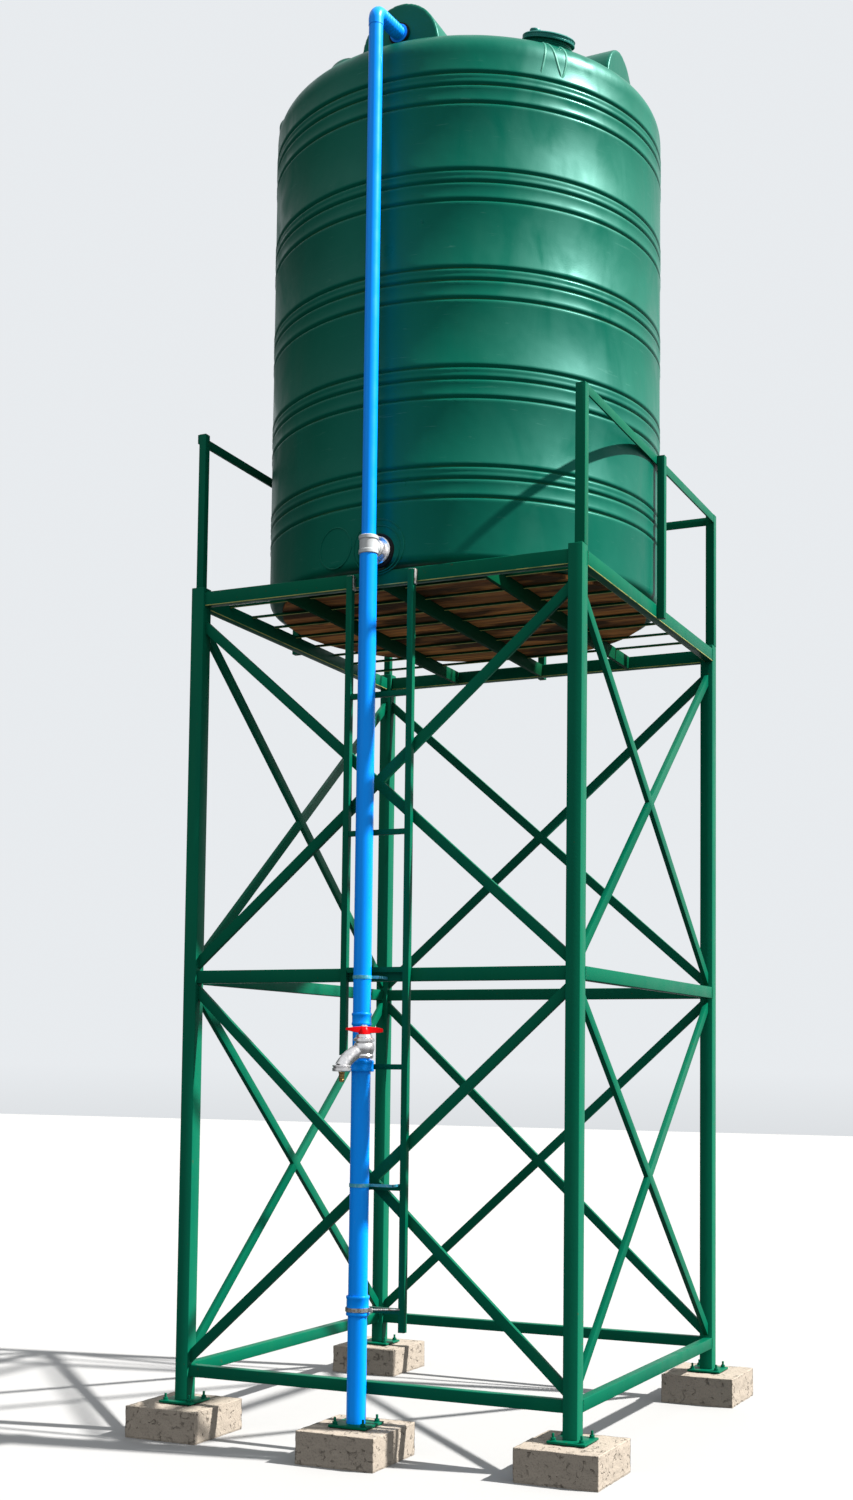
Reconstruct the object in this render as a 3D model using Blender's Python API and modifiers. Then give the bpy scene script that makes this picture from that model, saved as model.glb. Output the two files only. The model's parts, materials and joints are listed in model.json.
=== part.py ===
"""Water tower: a round plastic tank on a braced square-tube stand.

X runs along the front face, Y runs from front to back and Z is up, in metres. The ground is at Z = 0,
and the origin is under the middle of the whole footprint.
"""
import math

import bmesh
import bpy
from mathutils import Matrix, Vector

# Stand
STAND_WIDTH = 2.18
STAND_DEPTH = 2.31
LEG_SIDE = 0.075
LEG_TOP = 4.376
BLOCK_WIDTH = 0.42
BLOCK_DEPTH = 0.46
BLOCK_HEIGHT = 0.16
FOOT_PLATE_SIDE = 0.19
FOOT_PLATE_THICK = 0.012
PLATE_WELD = 0.004
BLOCK_EDGE = 0.01
GIRT_THICK = 0.05
GIRT_SETBACK = 0.012
GIRT_LEVELS = {"bottom": (0.290, 0.350), "middle": (2.294, 2.360), "top": (4.278, 4.352)}
BRACE_WIDTH = 0.05
BRACE_THICK = 0.025
BRACE_TOP_DROP = 0.11
BRACE_CORNER_DROP = 0.045

# Deck
JOIST_SPACING = 0.56
JOIST_WIDTH = 0.022
DECK_BARS = 8
DECK_BAR_WIDTH = 0.012
DECK_BAR_HEIGHT = 0.012
DECK_RIM = 0.07
DECK_THICK = 0.025

# Guard rails
POST_SIDE = 0.05
LEFT_POST_SIDE = 0.04
LEFT_POST_INSET = 0.012
RAIL_HEIGHT = 0.048
RAIL_THICK = 0.010
MIDDLE_POST_SIDE = 0.04
LINK_DROP = (0.040, 0.010)
LINK_MARGIN = 0.005
GUARD_TOP = 5.165
LEFT_GUARD_TOP = 5.210

# Ladder
STILE_SIDE = 0.032
STILE_SPACING = 0.341
LADDER_X = 0.024
RUNG_SIDE = 0.026
RIGHT_STILE_FOOT = 0.60
LEFT_STILE_FOOT = 1.93
LADDER_TOP = 4.335
RUNG_HEIGHTS = (0.70, 1.29, 1.875, 2.35, 3.03, 3.72)

# Tank
TANK_RADIUS = 1.075
TANK_SHIFT = -0.075
TANK_WALL = 0.012
WALL_TOP = 7.00
BASE_RIM = 0.06
BASE_EDGE_RADIUS = 0.045
SHOULDER_TOP = 7.145
SHOULDER_RADIUS = 0.13
ROOF_RISE = 0.05
RIDGE_HALF_WIDTH = 0.223
RIDGE_HEIGHT = 0.26
RIDGE_REACH = 0.905
NECK_RADIUS = 0.126
NECK_BORE = 0.10
NECK_DEPTH = 0.07
NECK_HEIGHT = 0.069
NECK_FOOT = 7.135
LID_RADIUS = 0.140
LID_THICK = 0.028
LID_SKIRT = 0.006
LID_CHAMFER = 0.010
LID_CLEARANCE = 0.006
BREATHER_RADIUS = 0.030
BREATHER_HEIGHT = 0.020
BREATHER_PLACE = (-0.044, -0.086)
LID_BEARING_ANGLE = -39.4
LID_BEARING_REACH = 0.883
LID_LEAN = 19.0

# Riser pipe and tap
RISER_OFFSET = 0.0985
RISER_LOW_RADIUS = 0.047
RISER_MID_RADIUS = 0.044
RISER_TOP_RADIUS = 0.036
RISER_PLATE_SIDE = 0.20
LOW_SOCKET = (0.680, 0.776)
LOW_SOCKET_RADIUS = 0.0565
TOP_SOCKET = (1.850, 1.908)
TOP_SOCKET_RADIUS = 0.063
COUPLING = (2.073, 2.136)
COUPLING_RADIUS = 0.0495
TEE = (4.407, 4.500)
TEE_RADIUS = 0.050
BRANCH_RADIUS = 0.038
BRANCH_REACH = 0.058
ARM_HEIGHT = 7.213
ARM_END_HEIGHT = 7.238
ARM_LEVEL_LENGTH = 0.03
ARM_RADIUS = 0.039
ARM_RING_RADIUS = 0.050
ARM_RING_LENGTH = 0.016
BEND_RADIUS = 0.050
BEND_SOCKET = 0.03
UNION_RADIUS = 0.050
FLANGE_RADIUS = 0.072
FLANGE_THICK = 0.014
UNION_SINK = 0.004
TAP_BEARING = -58.0
TAP_REACH = 0.150
TAP_HEIGHT = 1.955
TAP_BARREL = (1.912, 2.028)
TAP_BARREL_RADIUS = 0.051
TAP_NIPPLE_RADIUS = 0.026
SPOUT_RADIUS = 0.036
SPOUT_RING_RADIUS = 0.046
SPOUT_RING = (1.850, 1.882)
SPOUT_SWING = (-0.108, 0.035)
SPOUT_END = 1.868
SPOUT_STEPS = 8
NOZZLE_RADIUS = 0.017
NOZZLE_LENGTH = 0.05
HANDLE_LENGTH = 0.178
HANDLE_WIDTH = 0.032
HANDLE_THICK = 0.032
HANDLE_EDGE = 0.012
HANDLE_HUB_RADIUS = 0.020
HANDLE_LIFT = 0.006

GAP = 0.0003
STEP = 0.001
MERGE = 0.00005
RING_STEPS = 48
RIDGE_SIDES = 32
PIPE_SIDES = 24
NARROW_SIDES = 16

# Places worked out from the sizes above
TAP_ANGLE = math.radians(TAP_BEARING)
TAP_OUT = Vector((math.cos(TAP_ANGLE), math.sin(TAP_ANGLE), 0.0))
TAP_ACROSS = Vector((-math.sin(TAP_ANGLE), math.cos(TAP_ANGLE), 0.0))
SPOUT_PLACE = TAP_OUT * (TAP_REACH + SPOUT_SWING[1]) + TAP_ACROSS * SPOUT_SWING[0]
front_reach = STAND_DEPTH / 2 + RISER_OFFSET + max(BLOCK_DEPTH / 2, SPOUT_RING_RADIUS - SPOUT_PLACE.y)
back_reach = STAND_DEPTH / 2 - LEG_SIDE / 2 + BLOCK_DEPTH / 2
STAND_Y = (front_reach - back_reach) / 2
FRONT = STAND_Y - STAND_DEPTH / 2
BACK = STAND_Y + STAND_DEPTH / 2
LEFT = -STAND_WIDTH / 2
RIGHT = STAND_WIDTH / 2
LEG_X = RIGHT - LEG_SIDE / 2
LEG_FRONT_Y = FRONT + LEG_SIDE / 2
LEG_BACK_Y = BACK - LEG_SIDE / 2
RISER_Y = FRONT - RISER_OFFSET
PLATE_TOP = BLOCK_HEIGHT + GAP + FOOT_PLATE_THICK
DECK_BOTTOM = GIRT_LEVELS["top"][1] + GAP
TANK_Y = STAND_Y + TANK_SHIFT
TANK_BOTTOM = DECK_BOTTOM + DECK_THICK + GAP
LID_ANGLE = math.radians(LID_BEARING_ANGLE)
LEAN = math.radians(LID_LEAN)
LID_OUT = Vector((math.cos(LID_ANGLE), math.sin(LID_ANGLE), 0.0))
LID_AXIS = LID_OUT * math.sin(LEAN) + Vector((0.0, 0.0, math.cos(LEAN)))
NECK_BASE = Vector((0.0, TANK_Y, NECK_FOOT)) + LID_OUT * LID_BEARING_REACH
LID_BASE = NECK_BASE + LID_AXIS * (NECK_HEIGHT + GAP)
LID_TURN = Vector((0.0, 0.0, 1.0)).rotation_difference(LID_AXIS)
RISER_FOOT = Vector((0.0, RISER_Y, 0.0))
TAP_AXIS = RISER_FOOT + TAP_OUT * TAP_REACH


def clear_scene():
    for old in list(bpy.data.objects):
        bpy.data.objects.remove(old, do_unlink=True)


def new_collection(name):
    group = bpy.data.collections.new(name)
    bpy.context.scene.collection.children.link(group)
    return group


def new_finish(name, colour, roughness, metallic=0.0):
    finish = bpy.data.materials.new(name)
    finish.use_nodes = True
    shader = finish.node_tree.nodes["Principled BSDF"]
    shader.inputs["Base Color"].default_value = (*colour, 1.0)
    shader.inputs["Roughness"].default_value = roughness
    shader.inputs["Metallic"].default_value = metallic
    return finish


clear_scene()
PARTS = new_collection("water_tower")
CUTTERS = new_collection("water_tower_cutters")
GREEN_STEEL = new_finish("green_painted_steel", (0.012, 0.155, 0.085), 0.42)
TANK_PLASTIC = new_finish("green_tank_plastic", (0.004, 0.150, 0.095), 0.38)
LID_PLASTIC = new_finish("dark_lid_plastic", (0.004, 0.075, 0.065), 0.40)
BLUE_PIPE = new_finish("blue_pipe_plastic", (0.000, 0.200, 0.780), 0.28)
GREY_PIPE = new_finish("grey_fitting_plastic", (0.560, 0.580, 0.600), 0.40)
BRIGHT_METAL = new_finish("bright_fitting_metal", (0.720, 0.710, 0.720), 0.25, 1.0)
BRASS = new_finish("brass", (0.560, 0.400, 0.180), 0.35, 1.0)
RED_PAINT = new_finish("red_handle_paint", (0.700, 0.010, 0.010), 0.35)
TIMBER = new_finish("deck_timber", (0.180, 0.070, 0.025), 0.75)
CONCRETE = new_finish("concrete", (0.420, 0.370, 0.320), 0.90)


def new_object(name, mesh, finish=None, group=None):
    piece = bpy.data.objects.new(name, mesh)
    (group or PARTS).objects.link(piece)
    if finish is not None:
        mesh.materials.append(finish)
    return piece


def as_cutter(piece):
    """A shape that is added to or taken from another piece."""
    PARTS.objects.unlink(piece)
    CUTTERS.objects.link(piece)
    piece.hide_render = True
    piece.display_type = "WIRE"
    return piece


def mesh_from(shape, name):
    mesh = bpy.data.meshes.new(name)
    shape.to_mesh(mesh)
    shape.free()
    return mesh


def box(name, low, high, finish=None, edge=0.0):
    """A block between two corners, with its origin at its middle."""
    low = Vector(low)
    high = Vector(high)
    shape = bmesh.new()
    bmesh.ops.create_cube(shape, size=1.0)
    bmesh.ops.scale(shape, vec=high - low, verts=shape.verts)
    piece = new_object(name, mesh_from(shape, name), finish)
    piece.location = (low + high) / 2
    if edge:
        bevel = piece.modifiers.new("edges", "BEVEL")
        bevel.width = edge
        bevel.segments = 1
        bevel.limit_method = "ANGLE"
    return piece


def drum(name, radius, start, end, finish=None, sides=PIPE_SIDES):
    """A round bar from one point to another, with its origin at its middle."""
    start = Vector(start)
    end = Vector(end)
    along = end - start
    shape = bmesh.new()
    bmesh.ops.create_cone(
        shape, cap_ends=True, segments=sides, radius1=radius, radius2=radius, depth=along.length
    )
    piece = new_object(name, mesh_from(shape, name), finish)
    piece.location = (start + end) / 2
    piece.rotation_euler = along.to_track_quat("Z", "Y").to_euler()
    round_shading(piece)
    return piece


def round_shading(piece):
    piece.data.shade_smooth()
    piece.data.set_sharp_from_angle(angle=math.radians(35))


def turned(name, profile, centre, finish=None, steps=RING_STEPS):
    """A profile of (radius, height) points, running down the outer side, swept about the Z axis."""
    shape = bmesh.new()
    points = [shape.verts.new((radius, 0.0, height)) for radius, height in profile]
    for first, second in zip(points, points[1:]):
        shape.edges.new((first, second))
    piece = new_object(name, mesh_from(shape, name), finish)
    piece.location = centre
    sweep = piece.modifiers.new("sweep", "SCREW")
    sweep.steps = steps
    sweep.render_steps = steps
    sweep.use_merge_vertices = True
    sweep.merge_threshold = MERGE
    sweep.use_smooth_shade = True
    return piece


def tube(name, points, radius, finish=None, resolution=4):
    """A bent pipe through the points, as a closed mesh."""
    line = bpy.data.curves.new(name, "CURVE")
    line.dimensions = "3D"
    line.bevel_depth = radius
    line.bevel_resolution = resolution
    line.use_fill_caps = True
    spline = line.splines.new("POLY")
    spline.points.add(len(points) - 1)
    for target, point in zip(spline.points, points):
        target.co = (*point, 1.0)
    guide = bpy.data.objects.new(name + "_line", line)
    PARTS.objects.link(guide)
    seen = guide.evaluated_get(bpy.context.evaluated_depsgraph_get())
    mesh = bpy.data.meshes.new_from_object(seen)
    shape = bmesh.new()
    shape.from_mesh(mesh)
    bmesh.ops.remove_doubles(shape, verts=shape.verts, dist=MERGE)
    bmesh.ops.recalc_face_normals(shape, faces=shape.faces)
    bpy.data.objects.remove(guide, do_unlink=True)
    bpy.data.meshes.remove(mesh)
    piece = new_object(name, mesh_from(shape, name), finish)
    round_shading(piece)
    return piece


def combine(piece, other, operation="UNION"):
    """Joins a shape to a piece, or cuts it away."""
    step = piece.modifiers.new(operation.lower(), "BOOLEAN")
    step.operation = operation
    step.solver = "EXACT"
    step.object = as_cutter(other)
    return piece


def arc(centre, radius, first, last, count):
    """Points on a round corner, as (across, up) pairs, from one angle to another in degrees."""
    turn = (last - first) / count
    angles = [math.radians(first + turn * index) for index in range(count + 1)]
    return [(centre[0] + radius * math.cos(a), centre[1] + radius * math.sin(a)) for a in angles]


def legs_and_blocks():
    """Four posts on bolted plates, each on its own concrete block."""
    half = LEG_SIDE / 2
    plate = FOOT_PLATE_SIDE / 2
    corners = {
        "front_left": (-LEG_X, LEG_FRONT_Y),
        "front_right": (LEG_X, LEG_FRONT_Y),
        "back_left": (-LEG_X, LEG_BACK_Y),
        "back_right": (LEG_X, LEG_BACK_Y),
    }
    for corner, (x, y) in corners.items():
        leg_foot = (x - half, y - half, PLATE_TOP - PLATE_WELD)
        leg = box("leg_" + corner, leg_foot, (x + half, y + half, LEG_TOP), GREEN_STEEL)
        plate_foot = (x - plate, y - plate, BLOCK_HEIGHT + GAP)
        combine(leg, box("foot_" + corner, plate_foot, (x + plate, y + plate, PLATE_TOP)))
        block(f"block_{corner}", x, y)


def block(name, x, y):
    across = BLOCK_WIDTH / 2
    along = BLOCK_DEPTH / 2
    high = (x + across, y + along, BLOCK_HEIGHT)
    return box(name, (x - across, y - along, 0.0), high, CONCRETE, edge=BLOCK_EDGE)


def girts():
    """Three levels of horizontal tubes between the posts on all four sides."""
    inner_x = RIGHT - LEG_SIDE - GAP
    front_end = FRONT + LEG_SIDE + GAP
    back_end = BACK - LEG_SIDE - GAP
    for level, (low, high) in GIRT_LEVELS.items():
        face = FRONT + GIRT_SETBACK
        box("girt_front_" + level, (-inner_x, face, low), (inner_x, face + GIRT_THICK, high), GREEN_STEEL)
        face = BACK - GIRT_SETBACK
        box("girt_back_" + level, (-inner_x, face - GIRT_THICK, low), (inner_x, face, high), GREEN_STEEL)
        for side, name in ((-1, "girt_left_"), (1, "girt_right_")):
            outer = side * RIGHT
            inner = side * (RIGHT - GIRT_THICK)
            low_x, high_x = sorted((outer, inner))
            box(name + level, (low_x, front_end, low), (high_x, back_end, high), GREEN_STEEL)


def slanted_bar(name, start, end, thick, finish=None):
    """A flat bar between two posts, its ends cut upright. Points are (across, height)."""
    rise = end[1] - start[1]
    run = end[0] - start[0]
    half = BRACE_WIDTH / 2 * math.hypot(rise, run) / run
    shape = bmesh.new()
    bmesh.ops.create_cube(shape, size=1.0)
    for corner in shape.verts:
        share = corner.co.x + 0.5
        height = start[1] + rise * share + 2 * half * corner.co.z
        corner.co = (start[0] + run * share, corner.co.y * thick, height)
    return new_object(name, mesh_from(shape, name), finish)


def braces():
    """A cross of two bars in each bay, two bays high, on all four sides."""
    tiers = {
        "lower": (GIRT_LEVELS["bottom"][1] + BRACE_CORNER_DROP, GIRT_LEVELS["middle"][0] - BRACE_CORNER_DROP),
        "upper": (GIRT_LEVELS["middle"][1] + BRACE_CORNER_DROP, GIRT_LEVELS["top"][0] - BRACE_TOP_DROP),
    }
    inset = GIRT_SETBACK + GIRT_THICK / 2
    clear_x = RIGHT - LEG_SIDE - GAP
    clear_y = STAND_DEPTH / 2 - LEG_SIDE - GAP
    sides = {
        "front": (clear_x, (0.0, FRONT + inset), 0.0),
        "back": (clear_x, (0.0, BACK - inset), 0.0),
        "left": (clear_y, (LEFT + inset, STAND_Y), math.pi / 2),
        "right": (clear_y, (RIGHT - inset, STAND_Y), math.pi / 2),
    }
    for side, (reach, place, turn) in sides.items():
        for tier, (low, high) in tiers.items():
            name = f"brace_{side}_{tier}"
            falling = slanted_bar(name, (-reach, high), (reach, low), BRACE_THICK, GREEN_STEEL)
            rising = slanted_bar(name + "_b", (-reach, low), (reach, high), BRACE_THICK - STEP)
            for bar in (falling, rising):
                bar.location = (*place, 0.0)
                bar.rotation_euler = (0.0, 0.0, turn)
            combine(falling, rising)


def deck():
    """Joists with thin bars across them, and a round timber deck under the tank."""
    low, high = GIRT_LEVELS["top"]
    front_end = FRONT + GIRT_SETBACK + GIRT_THICK + GAP
    back_end = BACK - GIRT_SETBACK - GIRT_THICK - GAP
    half = JOIST_WIDTH / 2
    grid = box("deck_grid", (-half, front_end, low), (half, back_end, high), GREEN_STEEL)
    for side in (-1, 1):
        x = side * JOIST_SPACING
        combine(grid, box("joist", (x - half, front_end, low), (x + half, back_end, high)))
    reach = RIGHT - GIRT_THICK - GAP
    spacing = (back_end - front_end) / (DECK_BARS + 1)
    for index in range(DECK_BARS):
        y = front_end + spacing * (index + 1)
        side = DECK_BAR_WIDTH / 2
        top = high - STEP
        combine(grid, box("bar", (-reach, y - side, top - DECK_BAR_HEIGHT), (reach, y + side, top)))
    drum(
        "deck_boards",
        TANK_RADIUS - DECK_RIM,
        (0.0, TANK_Y, DECK_BOTTOM),
        (0.0, TANK_Y, DECK_BOTTOM + DECK_THICK),
        TIMBER,
        sides=RING_STEPS,
    )


def guard_rails():
    """Rails on the left, right and back of the deck. The front stays open for the ladder."""
    left_posts = LEFT + LEFT_POST_INSET
    left_rail = (left_posts - RAIL_THICK, left_posts + STEP)
    left_middle = (LEFT - MIDDLE_POST_SIDE, LEFT - GAP)
    side_guard("guard_left", left_posts, LEFT_POST_SIDE, left_rail, left_middle, LEFT_GUARD_TOP)
    right_posts = RIGHT - POST_SIDE
    right_rail = (RIGHT - RAIL_THICK, RIGHT - STEP)
    right_middle = (RIGHT + GAP, RIGHT + MIDDLE_POST_SIDE)
    side_guard("guard_right", right_posts, POST_SIDE, right_rail, right_middle, GUARD_TOP)
    rail_high = GUARD_TOP - STEP
    rail_y = (BACK - RAIL_THICK, BACK - STEP)
    ends = (left_posts + LEFT_POST_SIDE + GAP, right_posts - GAP)
    rail_low = (ends[0], rail_y[0], rail_high - RAIL_HEIGHT)
    rail = box("guard_back", rail_low, (ends[1], rail_y[1], rail_high), GREEN_STEEL)
    middle_post(rail, (-MIDDLE_POST_SIDE, BACK + GAP), (0.0, BACK + MIDDLE_POST_SIDE), GUARD_TOP)
    link_low = (LINK_MARGIN - MIDDLE_POST_SIDE, BACK - RAIL_THICK / 2)
    link(rail, link_low, (-LINK_MARGIN, BACK + MIDDLE_POST_SIDE / 2), GUARD_TOP)


def side_guard(name, posts, side, rail_x, middle_x, top):
    """Two end posts, a flat rail and a middle post outside the girt."""
    foot = LEG_TOP + GAP
    front_low = FRONT + LEG_SIDE - POST_SIDE
    back_high = BACK - POST_SIDE + side
    inner = posts + side
    frame = box(name, (posts, front_low, foot), (inner, front_low + side, top), GREEN_STEEL)
    combine(frame, box("post", (posts, back_high - side, foot), (inner, back_high, top)))
    rail_high = top - STEP
    rail_low = (rail_x[0], front_low + STEP, rail_high - RAIL_HEIGHT)
    combine(frame, box("rail", rail_low, (rail_x[1], back_high - STEP, rail_high)))
    post_back = STAND_Y + MIDDLE_POST_SIDE
    middle_post(frame, (middle_x[0], STAND_Y), (middle_x[1], post_back), top)
    link_x = sorted(((rail_x[0] + rail_x[1]) / 2, (middle_x[0] + middle_x[1]) / 2))
    link(frame, (link_x[0], STAND_Y + LINK_MARGIN), (link_x[1], post_back - LINK_MARGIN), top)


def middle_post(frame, low, high, top):
    """A post on the outer face of the top girt, up to the rail."""
    foot = GIRT_LEVELS["top"][0]
    combine(frame, box("middle", (*low, foot), (*high, top - 2 * STEP)))


def link(frame, low, high, top):
    """The weld between a rail and its middle post."""
    combine(frame, box("link", (*low, top - LINK_DROP[0]), (*high, top - LINK_DROP[1])))


def ladder():
    """Two stiles on the front girts. The left one stops behind the tap, as in the real one."""
    half = STILE_SIDE / 2
    back = FRONT + GIRT_SETBACK - GAP
    front = back - STILE_SIDE
    right_x = LADDER_X + STILE_SPACING / 2
    left_x = LADDER_X - STILE_SPACING / 2
    right_foot = (right_x - half, front, RIGHT_STILE_FOOT)
    frame = box("ladder", right_foot, (right_x + half, back, LADDER_TOP), GREEN_STEEL)
    left_foot = (left_x - half, front, LEFT_STILE_FOOT)
    combine(frame, box("stile", left_foot, (left_x + half, back, LADDER_TOP)))
    skin = (STILE_SIDE - RUNG_SIDE) / 2
    for height in RUNG_HEIGHTS:
        left_end = left_x if height > LEFT_STILE_FOOT else 0.0
        low = (left_end, front + skin, height - RUNG_SIDE / 2)
        high = (right_x, back - skin, height + RUNG_SIDE / 2)
        combine(frame, box("rung", low, high))


def tank_wall():
    """The wall in four quarters, each its own cross-section swept round the tank's axis."""
    low = TANK_BOTTOM + BASE_RIM + GAP
    high = WALL_TOP - GAP
    inner = TANK_RADIUS - TANK_WALL
    section = [(TANK_RADIUS, high), (TANK_RADIUS, low), (inner, low), (inner, high)]
    names = ("front_left", "front_right", "back_right", "back_left")
    for index, corner in enumerate(names):
        name = "tank_wall_" + corner
        shape = bmesh.new()
        points = [shape.verts.new((radius, 0.0, height)) for radius, height in section]
        face = shape.faces.new(points)
        start = math.pi / 2 * (index + 2) + GAP / TANK_RADIUS
        turn = math.pi / 2 - 2 * GAP / TANK_RADIUS
        bmesh.ops.rotate(shape, verts=shape.verts, matrix=Matrix.Rotation(start, 3, "Z"))
        bmesh.ops.spin(
            shape, geom=[face, *face.edges, *points], axis=(0, 0, 1), angle=turn, steps=RING_STEPS // 4
        )
        bmesh.ops.recalc_face_normals(shape, faces=shape.faces)
        quarter = new_object(name, mesh_from(shape, name), TANK_PLASTIC)
        quarter.location = (0.0, TANK_Y, 0.0)
        round_shading(quarter)


def tank_base():
    """A dish with a rounded edge that closes the wall below."""
    edge = BASE_EDGE_RADIUS
    inner_edge = edge - TANK_WALL
    inner = TANK_RADIUS - TANK_WALL
    profile = [(0.0, TANK_WALL)]
    profile += arc((inner - inner_edge, edge), inner_edge, -90, 0, 4)
    profile += [(inner, BASE_RIM), (TANK_RADIUS, BASE_RIM)]
    profile += arc((TANK_RADIUS - edge, edge), edge, 0, -90, 4)
    profile += [(0.0, 0.0)]
    turned("tank_base", profile, (0.0, TANK_Y, TANK_BOTTOM), TANK_PLASTIC)


def roof_form(name, skin, foot):
    """The closed form of the roof: a shallow dome with a rounded shoulder, smaller by its skin."""
    radius = TANK_RADIUS - skin
    corner = SHOULDER_RADIUS - skin
    centre = (TANK_RADIUS - SHOULDER_RADIUS, SHOULDER_TOP - SHOULDER_RADIUS)
    profile = [(0.0, SHOULDER_TOP + ROOF_RISE - skin)]
    profile += arc(centre, corner, 90, 0, 4)
    profile += [(radius, foot), (0.0, foot)]
    return turned(name, profile, (0.0, TANK_Y, 0.0), TANK_PLASTIC)


def ridge(name, skin, turn):
    """A raised half-round ridge right across the roof."""
    shape = bmesh.new()
    length = 2 * (RIDGE_REACH - skin)
    bmesh.ops.create_cone(
        shape, cap_ends=True, segments=RIDGE_SIDES, radius1=1.0, radius2=1.0, depth=length
    )
    bmesh.ops.rotate(shape, verts=shape.verts, matrix=Matrix.Rotation(math.pi / 2, 3, "X"))
    everything = shape.verts[:] + shape.edges[:] + shape.faces[:]
    cut = bmesh.ops.bisect_plane(
        shape, geom=everything, plane_co=(0.0, 0.0, 0.0), plane_no=(0.0, 0.0, 1.0), clear_inner=True
    )
    rim = [item for item in cut["geom_cut"] if isinstance(item, bmesh.types.BMEdge)]
    bmesh.ops.holes_fill(shape, edges=rim)
    bmesh.ops.recalc_face_normals(shape, faces=shape.faces)
    size = Vector((RIDGE_HALF_WIDTH - skin, 1.0, RIDGE_HEIGHT - skin))
    bmesh.ops.scale(shape, vec=size, verts=shape.verts)
    piece = new_object(name, mesh_from(shape, name))
    piece.location = (0.0, TANK_Y, SHOULDER_TOP)
    piece.rotation_euler = (0.0, 0.0, turn)
    return piece


def tank_roof():
    """A hollow shell: the outer form with its ridges and neck, less the same form one wall smaller."""
    roof = roof_form("tank_roof", 0.0, WALL_TOP)
    combine(roof, ridge("ridge_along", 0.0, 0.0))
    combine(roof, ridge("ridge_across", 0.0, math.pi / 2))
    neck_foot = NECK_BASE - LID_AXIS * NECK_DEPTH
    combine(roof, drum("neck", NECK_RADIUS, neck_foot, NECK_BASE + LID_AXIS * NECK_HEIGHT))
    inside = roof_form("roof_inside", TANK_WALL, WALL_TOP - TANK_WALL)
    combine(roof, inside, "DIFFERENCE")
    combine(roof, ridge("ridge_along_inside", TANK_WALL, 0.0), "DIFFERENCE")
    combine(roof, ridge("ridge_across_inside", TANK_WALL, math.pi / 2), "DIFFERENCE")
    bore_foot = NECK_BASE - LID_AXIS * 2 * NECK_DEPTH
    bore = drum("neck_bore", NECK_BORE, bore_foot, NECK_BASE + LID_AXIS * 2 * NECK_HEIGHT)
    combine(roof, bore, "DIFFERENCE")


def tank_lid():
    """A screw lid with a skirt round the neck and a small breather on its top."""
    top = LID_THICK
    skirt = NECK_RADIUS + LID_CLEARANCE
    profile = [(0.0, top), (LID_RADIUS - LID_CHAMFER, top), (LID_RADIUS, top - LID_CHAMFER)]
    profile += [(LID_RADIUS, -LID_SKIRT), (skirt, -LID_SKIRT), (skirt, 0.0), (0.0, 0.0)]
    lid = turned("tank_lid", profile, LID_BASE, LID_PLASTIC, RIDGE_SIDES)
    lid.rotation_euler = LID_TURN.to_euler()
    side = LID_BASE + LID_TURN @ Vector((*BREATHER_PLACE, 0.0))
    foot = side + LID_AXIS * (LID_THICK - LID_CHAMFER)
    combine(lid, drum("breather", BREATHER_RADIUS, foot, side + LID_AXIS * (LID_THICK + BREATHER_HEIGHT)))


def ringed_pipe(low, high, radius, ring, ring_radius):
    """A pipe's outline from top to bottom, wider between the two heights of its ring."""
    profile = [(radius, high), (radius, ring[1]), (ring_radius, ring[1])]
    profile += [(ring_radius, ring[0]), (radius, ring[0]), (radius, low), (0.0, low)]
    return profile


def riser():
    """The blue pipe in front of the stand, from its foot plate up to the bend into the roof."""
    half = RISER_PLATE_SIDE / 2
    foot = BLOCK_HEIGHT + GAP
    block("block_riser", 0.0, RISER_Y)
    plate_foot = (-half, RISER_Y - half, foot)
    box("riser_foot_plate", plate_foot, (half, RISER_Y + half, PLATE_TOP), GREEN_STEEL)
    low, high = TOP_SOCKET
    lower = [(0.0, high), (TOP_SOCKET_RADIUS, high), (TOP_SOCKET_RADIUS, low)]
    lower += ringed_pipe(PLATE_TOP + GAP, low, RISER_LOW_RADIUS, LOW_SOCKET, LOW_SOCKET_RADIUS)
    turned("riser_lower", lower, (0.0, RISER_Y, 0.0), BLUE_PIPE, PIPE_SIDES)
    foot = high + GAP
    head = TEE[0] - GAP
    middle = [(0.0, head)] + ringed_pipe(foot, head, RISER_MID_RADIUS, COUPLING, COUPLING_RADIUS)
    turned("riser_middle", middle, (0.0, RISER_Y, 0.0), BLUE_PIPE, PIPE_SIDES)
    bend_foot = ARM_HEIGHT - BEND_RADIUS
    socket_foot = bend_foot - BEND_SOCKET
    top_foot = (0.0, RISER_Y, TEE[1] + GAP)
    drum("riser_top", RISER_TOP_RADIUS, top_foot, (0.0, RISER_Y, socket_foot - GAP), BLUE_PIPE)
    corner = arc((RISER_Y + BEND_RADIUS, bend_foot), BEND_RADIUS, 180, 90, 6)
    path = [(0.0, RISER_Y, socket_foot)]
    path += [(0.0, y, z) for y, z in corner]
    arm_end = TANK_Y - RIDGE_REACH - STEP
    path += [(0.0, arm_end - ARM_LEVEL_LENGTH, ARM_END_HEIGHT), (0.0, arm_end, ARM_END_HEIGHT)]
    bend = tube("riser_bend", path, ARM_RADIUS, BLUE_PIPE)
    ring_start = (0.0, arm_end - ARM_RING_LENGTH, ARM_END_HEIGHT)
    combine(bend, drum("arm_ring", ARM_RING_RADIUS, ring_start, (0.0, arm_end, ARM_END_HEIGHT)))


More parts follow.
